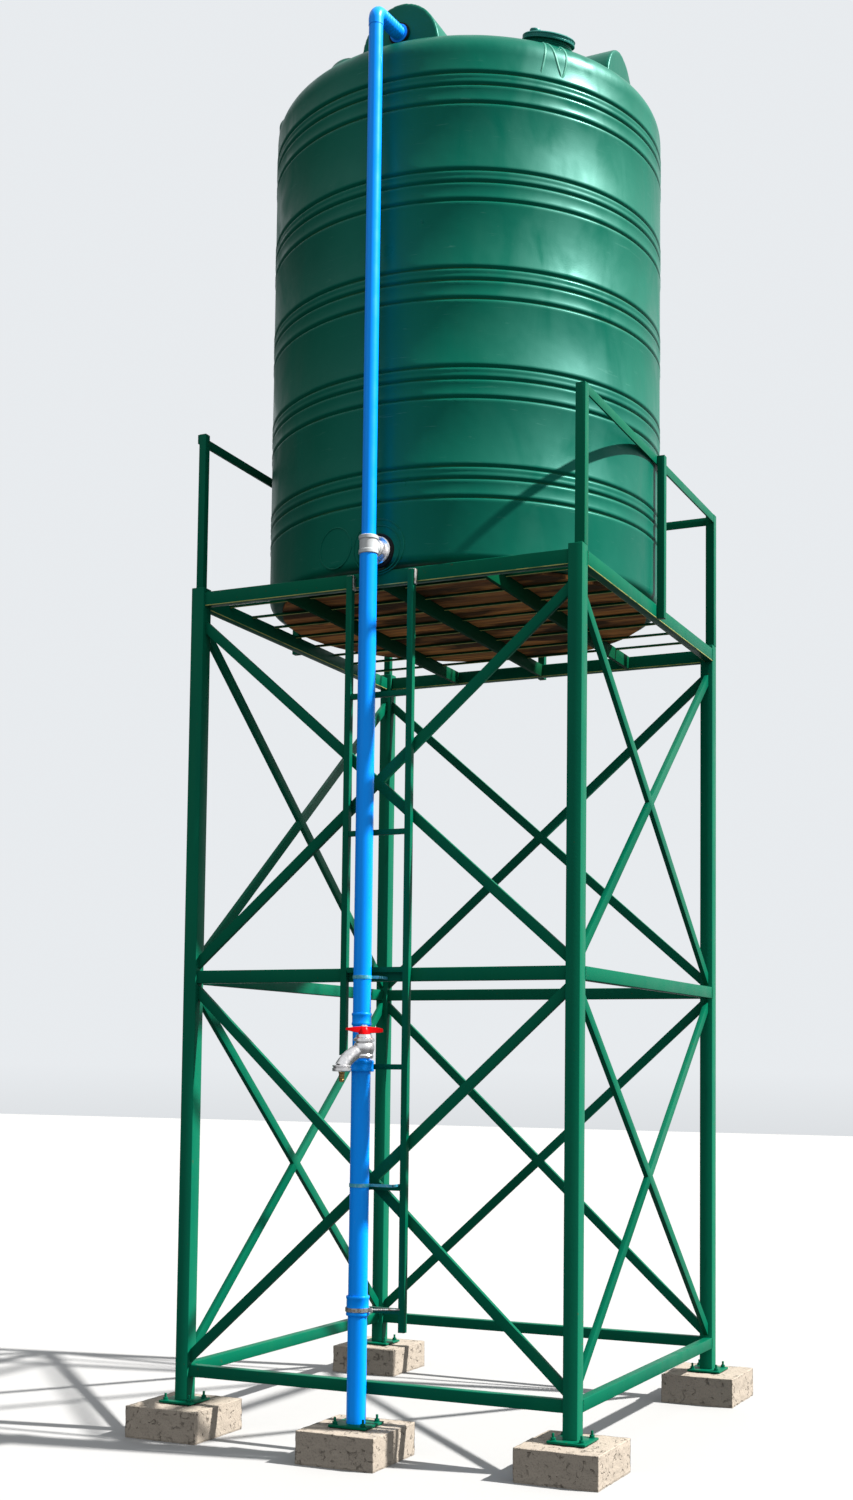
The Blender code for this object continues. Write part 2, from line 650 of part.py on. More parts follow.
def outlet():
    """The grey tee on the riser and the bright fitting that joins it to the tank."""
    centre = (TEE[0] + TEE[1]) / 2
    wall = TANK_Y - TANK_RADIUS
    tee = drum("outlet_tee", TEE_RADIUS, (0.0, RISER_Y, TEE[0]), (0.0, RISER_Y, TEE[1]), GREY_PIPE)
    branch_end = RISER_Y + BRANCH_REACH
    combine(tee, drum("branch", BRANCH_RADIUS, (0.0, RISER_Y, centre), (0.0, branch_end, centre)))
    flange_back = wall - GAP
    flange_face = (0.0, flange_back - FLANGE_THICK, centre)
    fitting = drum("outlet_fitting", FLANGE_RADIUS, flange_face, (0.0, flange_back, centre), BRIGHT_METAL)
    union_end = (0.0, flange_back - UNION_SINK, centre)
    combine(fitting, drum("union_nut", UNION_RADIUS, (0.0, branch_end + GAP, centre), union_end))


def tap():
    """The tap: a barrel on a short nipple, a bent spout with a brass nozzle, and a red lever."""
    low, high = TAP_BARREL
    foot = TAP_AXIS + Vector((0.0, 0.0, low))
    head = TAP_AXIS + Vector((0.0, 0.0, high))
    body = drum("tap_body", TAP_BARREL_RADIUS, foot, head, BRIGHT_METAL)
    level = Vector((0.0, 0.0, TAP_HEIGHT))
    pipe_face = RISER_FOOT + TAP_OUT * (RISER_MID_RADIUS + 2 * GAP)
    combine(body, drum("nipple", TAP_NIPPLE_RADIUS, pipe_face + level, TAP_AXIS + level, sides=NARROW_SIDES))
    end = RISER_FOOT + SPOUT_PLACE
    swing = end - TAP_AXIS
    path = []
    for index in range(SPOUT_STEPS + 1):
        share = index / SPOUT_STEPS
        bend = math.sin(share * math.pi / 2)
        height = TAP_HEIGHT + (SPOUT_END - TAP_HEIGHT) * (1 - math.cos(share * math.pi / 2))
        place = TAP_AXIS + swing * bend
        path.append((place.x, place.y, height))
    combine(body, tube("spout", path, SPOUT_RADIUS))
    ring_low = end + Vector((0.0, 0.0, SPOUT_RING[0]))
    ring_high = end + Vector((0.0, 0.0, SPOUT_RING[1]))
    combine(body, drum("ring", SPOUT_RING_RADIUS, ring_low, ring_high))
    nozzle_top = ring_low - Vector((0.0, 0.0, GAP))
    nozzle_foot = nozzle_top - Vector((0.0, 0.0, NOZZLE_LENGTH))
    drum("tap_nozzle", NOZZLE_RADIUS, nozzle_foot, nozzle_top, BRASS, NARROW_SIDES)
    handle(head.z + GAP)


def handle(foot):
    """The lever turns on the barrel's axis, where its origin lies."""
    shape = bmesh.new()
    bmesh.ops.create_cube(shape, size=1.0)
    size = Vector((HANDLE_LENGTH, HANDLE_WIDTH, HANDLE_THICK))
    bmesh.ops.scale(shape, vec=size, verts=shape.verts)
    middle = foot + HANDLE_LIFT + HANDLE_THICK / 2
    bmesh.ops.translate(shape, vec=(0.0, 0.0, middle), verts=shape.verts)
    lever = new_object("tap_handle", mesh_from(shape, "tap_handle"), RED_PAINT)
    lever.location = TAP_AXIS
    lever.rotation_euler = (0.0, 0.0, TAP_ANGLE + math.pi / 2)
    rounding = lever.modifiers.new("rounding", "BEVEL")
    rounding.width = HANDLE_EDGE
    rounding.segments = 2
    rounding.limit_method = "ANGLE"
    hub_foot = TAP_AXIS + Vector((0.0, 0.0, foot))
    combine(lever, drum("hub", HANDLE_HUB_RADIUS, hub_foot, TAP_AXIS + Vector((0.0, 0.0, middle))))


legs_and_blocks()
girts()
braces()
deck()
guard_rails()
ladder()
tank_wall()
tank_base()
tank_roof()
tank_lid()
riser()
outlet()
tap()
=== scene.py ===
import json
import math

import bpy
from mathutils import Matrix, Vector

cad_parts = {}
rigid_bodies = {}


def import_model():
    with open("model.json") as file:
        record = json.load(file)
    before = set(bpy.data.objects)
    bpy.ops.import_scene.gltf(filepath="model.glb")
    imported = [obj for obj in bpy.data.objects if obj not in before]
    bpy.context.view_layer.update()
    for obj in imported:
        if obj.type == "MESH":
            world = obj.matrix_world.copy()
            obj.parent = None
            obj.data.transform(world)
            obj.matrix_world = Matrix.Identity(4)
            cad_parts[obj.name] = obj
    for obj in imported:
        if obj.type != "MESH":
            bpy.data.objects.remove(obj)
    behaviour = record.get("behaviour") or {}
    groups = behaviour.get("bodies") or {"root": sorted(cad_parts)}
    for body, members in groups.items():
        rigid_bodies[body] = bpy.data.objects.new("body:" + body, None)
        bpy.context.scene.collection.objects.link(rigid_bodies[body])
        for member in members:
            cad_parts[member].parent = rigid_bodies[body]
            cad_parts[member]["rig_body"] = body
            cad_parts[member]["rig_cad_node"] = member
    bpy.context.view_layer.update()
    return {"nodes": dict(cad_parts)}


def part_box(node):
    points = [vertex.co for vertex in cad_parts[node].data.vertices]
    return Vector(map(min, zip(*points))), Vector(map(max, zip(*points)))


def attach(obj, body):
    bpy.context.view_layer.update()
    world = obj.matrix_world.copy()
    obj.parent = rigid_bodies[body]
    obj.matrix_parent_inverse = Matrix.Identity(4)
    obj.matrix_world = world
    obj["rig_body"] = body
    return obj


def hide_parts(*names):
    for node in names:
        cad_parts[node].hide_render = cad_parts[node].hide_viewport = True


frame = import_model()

# %% [markdown]
# # A water tower, piece by piece
# The tower is a round moulded plastic tank on a stand of green square tube. A blue pipe climbs its front
# to the roof, with a tap about two metres up. The imported model gives the places and sizes, so this lesson
# dresses it: it rounds the tubes, moulds the tank's grooves and ridges, lays the boards, and paints it all.

# %% [markdown]
# ## Places to hang things on
# Everything sits on the imported model, so the main places are read from its nodes.
# The tank's axis, the riser's axis and the stand's front face are the three that most pieces need.

# %% Main places
tank_low, tank_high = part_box("tank_base")
TANK_X = 0.0
TANK_Y = (tank_low.y + tank_high.y) / 2
TANK_RADIUS = (tank_high.x - tank_low.x) / 2
TANK_FOOT = tank_low.z
WALL_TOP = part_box("tank_roof")[0].z
plate_low, plate_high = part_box("riser_foot_plate")
RISER_Y = (plate_low.y + plate_high.y) / 2
PLATE_OVERHANG = 0.0575
STAND_HALF_DEPTH = 1.155
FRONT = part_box("leg_front_left")[0].y + PLATE_OVERHANG
STAND_Y = FRONT + STAND_HALF_DEPTH
PLATE_TOP = plate_high.z
print("tank axis y", round(TANK_Y, 4), "radius", round(TANK_RADIUS, 4), "riser y", round(RISER_Y, 4))

# %% [markdown]
# ## Camera, floor and light
# The camera stands where the photograph was taken: in front of the stand and off to its right, about 1.9
# metres up. It looks up by four degrees and has a small roll. The lens is shifted upwards, as the tower
# fills a tall picture while the camera looks nearly level.
# The floor is plain and pale, and it throws no light back at the tower. A sun from the right lights the
# right faces of the tubes, and a pale sky fills the shade. The sky is dimmer below the horizon and far to
# the left, so that faces turned that way stay a deep green.

# %% Camera
bpy.ops.object.select_all(action="DESELECT")
YAW = math.radians(24.96)
PITCH = math.radians(4.01)
ROLL = math.radians(0.68)
forward = Vector((-math.sin(YAW) * math.cos(PITCH), math.cos(YAW) * math.cos(PITCH), math.sin(PITCH)))
level_right = Vector((math.cos(YAW), math.sin(YAW), 0.0))
level_up = level_right.cross(forward)
right = level_right * math.cos(ROLL) + level_up * math.sin(ROLL)
up = right.cross(forward)
bpy.ops.object.camera_add(location=(3.946, STAND_Y - 8.995, 1.869))
camera = bpy.context.object
camera.name = "view_of_the_tower"
camera.rotation_euler = Matrix((right, up, -forward)).transposed().to_euler()
camera.data.lens = 42.8
camera.data.shift_y = 0.129
camera.data.clip_end = 200.0
bpy.context.scene.camera = camera
print("camera at", tuple(round(x, 3) for x in camera.location), "lens", camera.data.lens)

# %% Floor and light
bpy.ops.mesh.primitive_plane_add(size=90.0, location=(0.0, 0.0, -0.001))
floor = bpy.context.object
floor.name = "floor"
floor_finish = bpy.data.materials.new("pale_floor")
floor_finish.use_nodes = True
floor_finish.node_tree.nodes["Principled BSDF"].inputs["Base Color"].default_value = (0.30, 0.30, 0.30, 1.0)
floor_finish.node_tree.nodes["Principled BSDF"].inputs["Roughness"].default_value = 0.9
floor.data.materials.append(floor_finish)
floor.visible_diffuse = False
floor.visible_glossy = False

SUN_BEARING = math.radians(12.0)
SUN_HEIGHT = math.radians(46.0)
SKY_ABOVE = 0.86
SKY_BELOW = 0.20
towards_sun = Vector((
    math.cos(SUN_BEARING) * math.cos(SUN_HEIGHT),
    math.sin(SUN_BEARING) * math.cos(SUN_HEIGHT),
    math.sin(SUN_HEIGHT),
))
bpy.ops.object.light_add(type="SUN", location=towards_sun * 20)
sun = bpy.context.object
sun.name = "soft_sun"
sun.data.energy = 11.6
sun.data.angle = math.radians(1.6)
sun.data.color = (1.0, 0.975, 0.94)
sun.rotation_euler = towards_sun.to_track_quat("Z", "Y").to_euler()
sky = bpy.data.worlds.new("even_sky")
sky.use_nodes = True
sky_nodes, sky_links = sky.node_tree.nodes, sky.node_tree.links
sky_nodes["Background"].inputs["Color"].default_value = (0.94, 0.97, 1.0, 1.0)
sky_place = sky_nodes.new("ShaderNodeTexCoord")
sky_height = sky_nodes.new("ShaderNodeSeparateXYZ")
sky_fade = sky_nodes.new("ShaderNodeMapRange")
sky_fade.inputs["From Min"].default_value = -0.25
sky_fade.inputs["From Max"].default_value = 0.0
sky_fade.inputs["To Min"].default_value = SKY_BELOW
sky_fade.inputs["To Max"].default_value = SKY_ABOVE
sky_links.new(sky_place.outputs["Generated"], sky_height.inputs["Vector"])
sky_links.new(sky_height.outputs["Z"], sky_fade.inputs["Value"])
sky_side = sky_nodes.new("ShaderNodeMapRange")
sky_side.inputs["From Min"].default_value = -0.86
sky_side.inputs["From Max"].default_value = -0.66
sky_side.inputs["To Min"].default_value = 0.15
sky_side.inputs["To Max"].default_value = 1.0
sky_links.new(sky_height.outputs["X"], sky_side.inputs["Value"])
sky_mix = sky_nodes.new("ShaderNodeMath")
sky_mix.operation = "MULTIPLY"
sky_links.new(sky_fade.outputs["Result"], sky_mix.inputs[0])
sky_links.new(sky_side.outputs["Result"], sky_mix.inputs[1])
sky_links.new(sky_mix.outputs["Value"], sky_nodes["Background"].inputs["Strength"])
bpy.context.scene.world = sky
bpy.context.scene.view_settings.view_transform = "Standard"
print("sun from", tuple(round(x, 2) for x in towards_sun))

# %% [markdown]
# ## How a finish is made here
# Every finish starts from one colour, roughness and metal value on the shader. Patterns are then added
# in small steps: a grain, which is noise on the piece's own coordinates, a window that keeps the part of
# the grain between two values, and a mix that lays a second colour where the window is open.
# A relief turns a grain into small bumps. The same four steps give paint, plastic, wood and concrete.

# %% Finish helpers
def new_finish(name, colour, roughness, metallic=0.0, coat=0.0, gleam=0.5, tint=(1.0, 1.0, 1.0)):
    finish = bpy.data.materials.new(name)
    finish.use_nodes = True
    shader = finish.node_tree.nodes["Principled BSDF"]
    shader.inputs["Base Color"].default_value = (*colour, 1.0)
    shader.inputs["Roughness"].default_value = roughness
    shader.inputs["Metallic"].default_value = metallic
    shader.inputs["Coat Weight"].default_value = coat
    shader.inputs["Specular IOR Level"].default_value = gleam
    shader.inputs["Specular Tint"].default_value = (*tint, 1.0)
    return finish


def grain(finish, scale, stretch=(1.0, 1.0, 1.0), detail=5.0, twist=0.0):
    """Noise on the piece's own coordinates, finer along the axes with a larger stretch."""
    nodes, links = finish.node_tree.nodes, finish.node_tree.links
    place = nodes.new("ShaderNodeTexCoord")
    mapping = nodes.new("ShaderNodeMapping")
    mapping.inputs["Scale"].default_value = stretch
    noise = nodes.new("ShaderNodeTexNoise")
    noise.inputs["Scale"].default_value = scale
    noise.inputs["Detail"].default_value = detail
    noise.inputs["Distortion"].default_value = twist
    links.new(place.outputs["Object"], mapping.inputs["Vector"])
    links.new(mapping.outputs["Vector"], noise.inputs["Vector"])
    return noise.outputs["Fac"]


def window(finish, value, low, high, bottom=0.0, top=1.0):
    """The value stretched so that low becomes bottom and high becomes top, and no further."""
    node = finish.node_tree.nodes.new("ShaderNodeMapRange")
    node.inputs["From Min"].default_value = low
    node.inputs["From Max"].default_value = high
    node.inputs["To Min"].default_value = bottom
    node.inputs["To Max"].default_value = top
    finish.node_tree.links.new(value, node.inputs["Value"])
    return node.outputs["Result"]


def lay_colour(finish, share, colour):
    """Lays a colour over what the shader has so far, by the share at each point."""
    nodes, links = finish.node_tree.nodes, finish.node_tree.links
    target = nodes["Principled BSDF"].inputs["Base Color"]
    mix = nodes.new("ShaderNodeMix")
    mix.data_type = "RGBA"
    if target.is_linked:
        links.new(target.links[0].from_socket, mix.inputs[6])
    else:
        mix.inputs[6].default_value = target.default_value
    mix.inputs[7].default_value = (*colour, 1.0)
    links.new(share, mix.inputs[0])
    links.new(mix.outputs[2], target)


def mottle(finish, scale, low, high, share, colour):
    """Lays a colour in patches, from none of it where the grain is low to a share of it where it is high."""
    lay_colour(finish, window(finish, grain(finish, scale), low, high, 0.0, share), colour)


def vary_roughness(finish, value, low, high):
    shine = window(finish, value, 0.3, 0.7, low, high)
    target = finish.node_tree.nodes["Principled BSDF"].inputs["Roughness"]
    finish.node_tree.links.new(shine, target)


def raise_relief(finish, value, depth, strength=1.0):
    """Bumps from a value, depth metres high. A second relief adds to the first."""
    nodes, links = finish.node_tree.nodes, finish.node_tree.links
    target = nodes["Principled BSDF"].inputs["Normal"]
    bump = nodes.new("ShaderNodeBump")
    bump.inputs["Distance"].default_value = depth
    bump.inputs["Strength"].default_value = strength
    if target.is_linked:
        links.new(target.links[0].from_socket, bump.inputs["Normal"])
    links.new(value, bump.inputs["Height"])
    links.new(bump.outputs["Normal"], target)


# %% [markdown]
# ## Green paint on the steel
# The stand is brushed with green paint. It has long soft streaks down the posts, patches of a darker and
# bluer green, a slight orange peel, a few freckles of rust, and places that shine a little more or less.
# All of it comes from grains of five sizes. The joists under the deck are stained, and their paint is made
# darker as painted shade. Lower edges get a pale olive, which is painted light bounced up from the ground.

# %% Stand paint
stand_paint = new_finish("stand_paint", (0.0005, 0.092, 0.048), 0.42, gleam=0.06, tint=(0.40, 1.0, 0.85))
mottle(stand_paint, 1.6, 0.40, 0.66, 0.55, (0.0004, 0.072, 0.042))
streaks = grain(stand_paint, 9.0, (1.0, 1.0, 0.09))
lay_colour(stand_paint, window(stand_paint, streaks, 0.50, 0.72, 0.0, 0.35), (0.004, 0.102, 0.050))
freckles = grain(stand_paint, 42.0, detail=3.0)
lay_colour(stand_paint, window(stand_paint, freckles, 0.71, 0.75, 0.0, 0.60), (0.050, 0.045, 0.016))
vary_roughness(stand_paint, grain(stand_paint, 7.0), 0.33, 0.50)
raise_relief(stand_paint, grain(stand_paint, 90.0, detail=2.0), 0.0010, 0.35)

# Painted shade: a darker copy of the stand's paint for the joists in the deck's shade. The rust grain on it
# is staining.
under_deck_shaded_paint = new_finish("under_deck_painted_shade", (0.0008, 0.052, 0.022), 0.60, gleam=0.02, tint=(0.30, 1.0, 0.60))
under_rust = grain(under_deck_shaded_paint, 5.0, (1.0, 0.3, 1.0), detail=6.0)
lay_colour(under_deck_shaded_paint, window(under_deck_shaded_paint, under_rust, 0.48, 0.66, 0.0, 0.40), (0.012, 0.022, 0.005))
raise_relief(under_deck_shaded_paint, grain(under_deck_shaded_paint, 70.0), 0.0010, 0.40)

# Painted light: a pale olive for lower edges, standing for light bounced up from the ground, broken by gaps
# of green paint.
edge_painted_light = new_finish("painted_ground_light_edge", (0.500, 0.500, 0.160), 0.60, gleam=0.10)
painted_light_gaps = grain(edge_painted_light, 12.0, detail=5.0)
lay_colour(edge_painted_light, window(edge_painted_light, painted_light_gaps, 0.50, 0.66, 0.0, 0.70), (0.080, 0.190, 0.060))
raise_relief(edge_painted_light, grain(edge_painted_light, 60.0), 0.0010, 0.50)
print("made", stand_paint.name, under_deck_shaded_paint.name, edge_painted_light.name)

# %% [markdown]
# ## The tank's plastic
# The tank is moulded in green polyethylene, coloured all through. It is satin, with a soft mottle, pale
# runs down the wall, and thin pale scratches that lie mostly level. The runs are long in Z, so their
# grain is stretched that way. The scratches' grain is stretched the other way and twisted a little.
# The dirty grooves, the welts (painted paler, as a highlight) and the lid each have a finish of their own.

# %% Tank plastic
tank_plastic = new_finish("tank_plastic", (0.0001, 0.092, 0.056), 0.38, gleam=0.45, tint=(0.15, 1.0, 0.88))
mottle(tank_plastic, 1.1, 0.38, 0.68, 0.50, (0.0001, 0.062, 0.043))
tank_plastic.node_tree.nodes["Principled BSDF"].inputs["IOR"].default_value = 1.38
runs = grain(tank_plastic, 7.0, (1.0, 1.0, 0.06), detail=8.0)
lay_colour(tank_plastic, window(tank_plastic, runs, 0.56, 0.80, 0.0, 0.18), (0.006, 0.125, 0.085))
scratches = grain(tank_plastic, 26.0, (0.25, 0.25, 3.0), detail=9.0, twist=1.2)
lay_colour(tank_plastic, window(tank_plastic, scratches, 0.66, 0.76, 0.0, 0.40), (0.060, 0.190, 0.145))
vary_roughness(tank_plastic, grain(tank_plastic, 4.0, (1.0, 1.0, 0.5), detail=12.0, twist=1.0), 0.26, 0.56)
raise_relief(tank_plastic, grain(tank_plastic, 2.6, detail=3.0), 0.014, 0.40)
raise_relief(tank_plastic, grain(tank_plastic, 160.0, detail=2.0), 0.0006, 0.22)

groove_shade = new_finish("tank_groove", (0.0015, 0.090, 0.050), 0.55, gleam=0.20, tint=(0.20, 1.0, 0.88))
groove_dirt = window(groove_shade, grain(groove_shade, 2.6), 0.45, 0.60, 0.0, 0.45)
lay_colour(groove_shade, groove_dirt, (0.040, 0.085, 0.018))
raise_relief(groove_shade, grain(groove_shade, 120.0), 0.0008, 0.30)

# Painted highlight: the welts are the tank's own plastic, coloured paler so that the ridges look lit.
welt_plastic_painted_highlight = new_finish("welt_plastic_painted_highlight", (0.060, 0.260, 0.190), 0.45, gleam=0.30, tint=(0.60, 1.0, 0.90))
mottle(welt_plastic_painted_highlight, 18.0, 0.46, 0.62, 0.6, (0.010, 0.130, 0.090))
raise_relief(welt_plastic_painted_highlight, grain(welt_plastic_painted_highlight, 140.0), 0.0005, 0.25)

lid_plastic = new_finish("lid_plastic", (0.0012, 0.118, 0.096), 0.30, gleam=0.45, tint=(0.50, 1.0, 0.95))
mottle(lid_plastic, 14.0, 0.50, 0.75, 0.45, (0.010, 0.130, 0.110))
vary_roughness(lid_plastic, grain(lid_plastic, 20.0), 0.28, 0.46)
raise_relief(lid_plastic, grain(lid_plastic, 150.0), 0.0006, 0.25)
print("made", tank_plastic.name, groove_shade.name, lid_plastic.name)

# %% [markdown]
# ## Pipe plastic, rubber and fittings
# The riser is smooth blue plastic pipe, with faint draw lines along its length and a little dust. The
# tee is grey pipe plastic, and the clips are a pale blue plastic. Rubber seals the pipe where it meets
# the tank, at the roof and at the outlet.

# %% Pipe finishes
pipe_blue = new_finish("pipe_blue", (0.000, 0.255, 0.930), 0.34, gleam=0.45, tint=(0.20, 0.85, 1.0))
mottle(pipe_blue, 2.2, 0.40, 0.70, 0.35, (0.000, 0.225, 0.880))
draw_lines = grain(pipe_blue, 60.0, (1.0, 1.0, 0.02))
lay_colour(pipe_blue, window(pipe_blue, draw_lines, 0.58, 0.80, 0.0, 0.15), (0.020, 0.330, 0.900))
dust_marks = grain(pipe_blue, 34.0, detail=8.0)
lay_colour(pipe_blue, window(pipe_blue, dust_marks, 0.71, 0.78, 0.0, 0.16), (0.250, 0.440, 0.700))
vary_roughness(pipe_blue, grain(pipe_blue, 11.0), 0.28, 0.40)

tee_grey = new_finish("tee_grey", (0.400, 0.420, 0.430), 0.36)
mottle(tee_grey, 26.0, 0.50, 0.72, 0.5, (0.300, 0.300, 0.285))
raise_relief(tee_grey, grain(tee_grey, 140.0), 0.0005, 0.25)

clip_blue = new_finish("clip_blue", (0.030, 0.300, 0.420), 0.38)
mottle(clip_blue, 60.0, 0.50, 0.70, 0.6, (0.280, 0.480, 0.560))

seal_rubber = new_finish("seal_rubber", (0.004, 0.005, 0.005), 0.62, gleam=0.15)
mottle(seal_rubber, 70.0, 0.50, 0.75, 0.5, (0.012, 0.013, 0.012))
raise_relief(seal_rubber, grain(seal_rubber, 200.0), 0.0005, 0.35)
print("made", pipe_blue.name, tee_grey.name, clip_blue.name, seal_rubber.name)

# %% [markdown]
# ## Metals and the red lever
# The tap is a bright plated casting, a little frosted, with darker patches. Its nozzle is dull brass and
# its lever is coated red. The riser's clamp and the ladder's hooks are zinc plated and stained.

# %% Metal finishes
tap_metal = new_finish("tap_metal", (0.800, 0.785, 0.790), 0.26, 1.0)
mottle(tap_metal, 38.0, 0.48, 0.74, 0.6, (0.520, 0.490, 0.470))
vary_roughness(tap_metal, grain(tap_metal, 90.0), 0.18, 0.40)
raise_relief(tap_metal, grain(tap_metal, 260.0), 0.0004, 0.30)

nozzle_brass = new_finish("nozzle_brass", (0.500, 0.350, 0.140), 0.34, 1.0)
mottle(nozzle_brass, 90.0, 0.45, 0.70, 0.7, (0.230, 0.150, 0.060))
vary_roughness(nozzle_brass, grain(nozzle_brass, 120.0), 0.26, 0.50)

lever_red = new_finish("lever_red", (0.640, 0.003, 0.005), 0.30, gleam=0.16, tint=(1.0, 0.35, 0.35))
mottle(lever_red, 55.0, 0.56, 0.76, 0.5, (0.380, 0.010, 0.010))
raise_relief(lever_red, grain(lever_red, 180.0), 0.0004, 0.25)

bolt_zinc = new_finish("bolt_zinc", (0.420, 0.425, 0.415), 0.42, 0.9)
mottle(bolt_zinc, 80.0, 0.50, 0.64, 0.8, (0.130, 0.070, 0.036))
vary_roughness(bolt_zinc, grain(bolt_zinc, 110.0), 0.34, 0.62)
print("made", tap_metal.name, nozzle_brass.name, lever_red.name, bolt_zinc.name)

# %% [markdown]
# ## Boards and concrete
# The deck boards are stained rough wood. Their grain runs along X, so the noise is stretched about ten
# times along it, and a plainer grain across Y gives the boards unlike tones. The pads are cast concrete:
# warm grey in uneven patches, with sand grains and small dark pores.

# %% Board and concrete finishes
board_wood = new_finish("board_wood", (0.720, 0.270, 0.080), 0.78, gleam=0.15)
tone = grain(board_wood, 3.1, (0.10, 4.0, 1.0), detail=1.0)
lay_colour(board_wood, window(board_wood, tone, 0.36, 0.66, 0.0, 0.85), (0.290, 0.108, 0.038))
fibres = grain(board_wood, 22.0, (0.12, 3.0, 3.0), detail=8.0, twist=0.6)
lay_colour(board_wood, window(board_wood, fibres, 0.44, 0.64, 0.0, 0.75), (0.110, 0.038, 0.013))
stains = grain(board_wood, 3.6, (0.5, 1.4, 1.0), detail=6.0)
lay_colour(board_wood, window(board_wood, stains, 0.50, 0.60, 0.0, 0.85), (0.022, 0.012, 0.005))
raise_relief(board_wood, grain(board_wood, 26.0, (0.10, 3.5, 3.5), detail=8.0), 0.0030, 0.6)

pad_concrete = new_finish("pad_concrete", (0.290, 0.250, 0.205), 0.90, gleam=0.2)
mottle(pad_concrete, 6.0, 0.40, 0.66, 0.60, (0.330, 0.285, 0.235))
sand = grain(pad_concrete, 150.0, detail=3.0)
lay_colour(pad_concrete, window(pad_concrete, sand, 0.52, 0.70, 0.0, 0.65), (0.170, 0.150, 0.130))
pores = grain(pad_concrete, 30.0, detail=4.0, twist=0.8)
lay_colour(pad_concrete, window(pad_concrete, pores, 0.60, 0.70, 0.0, 0.75), (0.105, 0.088, 0.070))
raise_relief(pad_concrete, window(pad_concrete, pores, 0.58, 0.70, 1.0, 0.0), 0.0080, 0.80)
raise_relief(pad_concrete, grain(pad_concrete, 60.0, detail=9.0), 0.0050, 0.75)
print("made", board_wood.name, pad_concrete.name)

# %% [markdown]
# ## Modelling helpers
# Each piece is made as by hand: a primitive is added, edited, joined and finished. A few short helpers
# keep the cells readable. A rod is a cylinder between two points, a slab is a cube between two corners,
# and a lathe draws half an outline and spins it about an upright axis. The last helper gives a finished
# piece its paint and its body, with its place in its own mesh.

# %% Helpers: adding and editing
def only(piece):
    """Makes a piece the only one selected, and the active one."""
    bpy.ops.object.select_all(action="DESELECT")
    piece.select_set(True)
    bpy.context.view_layer.objects.active = piece


def settle(piece, name=None):
    """Puts the piece's place into its mesh, with its object at the origin."""
    only(piece)
    bpy.ops.object.transform_apply(location=True, rotation=True, scale=True)
    if name:
        piece.name = name
        piece.data.name = name
    return piece


def slab(name, low, high):
    """A block between two corners."""
    low, high = Vector(low), Vector(high)
    bpy.ops.object.select_all(action="DESELECT")
    bpy.ops.mesh.primitive_cube_add(size=1.0, location=(low + high) / 2)
    piece = bpy.context.object
    piece.scale = high - low
    return settle(piece, name)


def rod(name, radius, start, end, sides=24):
    """A round bar from one point to another."""
    start, end = Vector(start), Vector(end)
    along = end - start
    bpy.ops.object.select_all(action="DESELECT")
    bpy.ops.mesh.primitive_cylinder_add(
        vertices=sides, radius=radius, depth=along.length, location=(start + end) / 2
    )
    piece = bpy.context.object
    piece.rotation_euler = along.to_track_quat("Z", "Y").to_euler()
    return settle(piece, name)


def pick(piece, kind, test):
    """Goes into edit mode with only the corners, edges or faces that pass a test selected."""
    only(piece)
    modes = {"VERT": piece.data.vertices, "EDGE": piece.data.edges, "FACE": piece.data.polygons}
    bpy.context.tool_settings.mesh_select_mode = (kind == "VERT", kind == "EDGE", kind == "FACE")
    for group in modes.values():
        group.foreach_set("select", [False] * len(group))
    for item in modes[kind]:
        item.select = bool(test(item))
    bpy.ops.object.mode_set(mode="EDIT")


def done():
    bpy.ops.object.mode_set(mode="OBJECT")


# %% Helpers: turning and joining
def draw_line(name, points):
    """A line of corners, drawn by extruding the last one to the next place."""
    bpy.ops.object.select_all(action="DESELECT")
    bpy.ops.mesh.primitive_plane_add(size=0.01, location=points[0])
    piece = settle(bpy.context.object, name)
    bpy.context.tool_settings.mesh_select_mode = (True, False, False)
    bpy.ops.object.mode_set(mode="EDIT")
    bpy.ops.mesh.select_all(action="SELECT")
    bpy.ops.mesh.merge(type="CENTER")
    for here, there in zip(points, points[1:]):
        step = Vector(there) - Vector(here)
        bpy.ops.mesh.extrude_region_move(TRANSFORM_OT_translate={"value": step})
    done()
    assert len(piece.data.vertices) == len(points), name + " has lost corners"
    return piece


def lathe(name, outline, centre, steps=64):
    """Half an outline of (radius, height) points, spun about the upright axis at a centre."""
    x, y = centre[0], centre[1]
    piece = draw_line(name, [(x + radius, y, height) for radius, height in outline])
    pick(piece, "VERT", lambda corner: True)
    bpy.ops.mesh.spin(steps=steps, angle=math.tau, center=(x, y, 0.0), axis=(0.0, 0.0, 1.0))
    bpy.ops.mesh.select_all(action="SELECT")
    bpy.ops.mesh.remove_doubles(threshold=0.00005)
    bpy.ops.mesh.normals_make_consistent(inside=False)
    done()
    assert len(piece.data.polygons) > 0, name + " has no faces"
    return piece


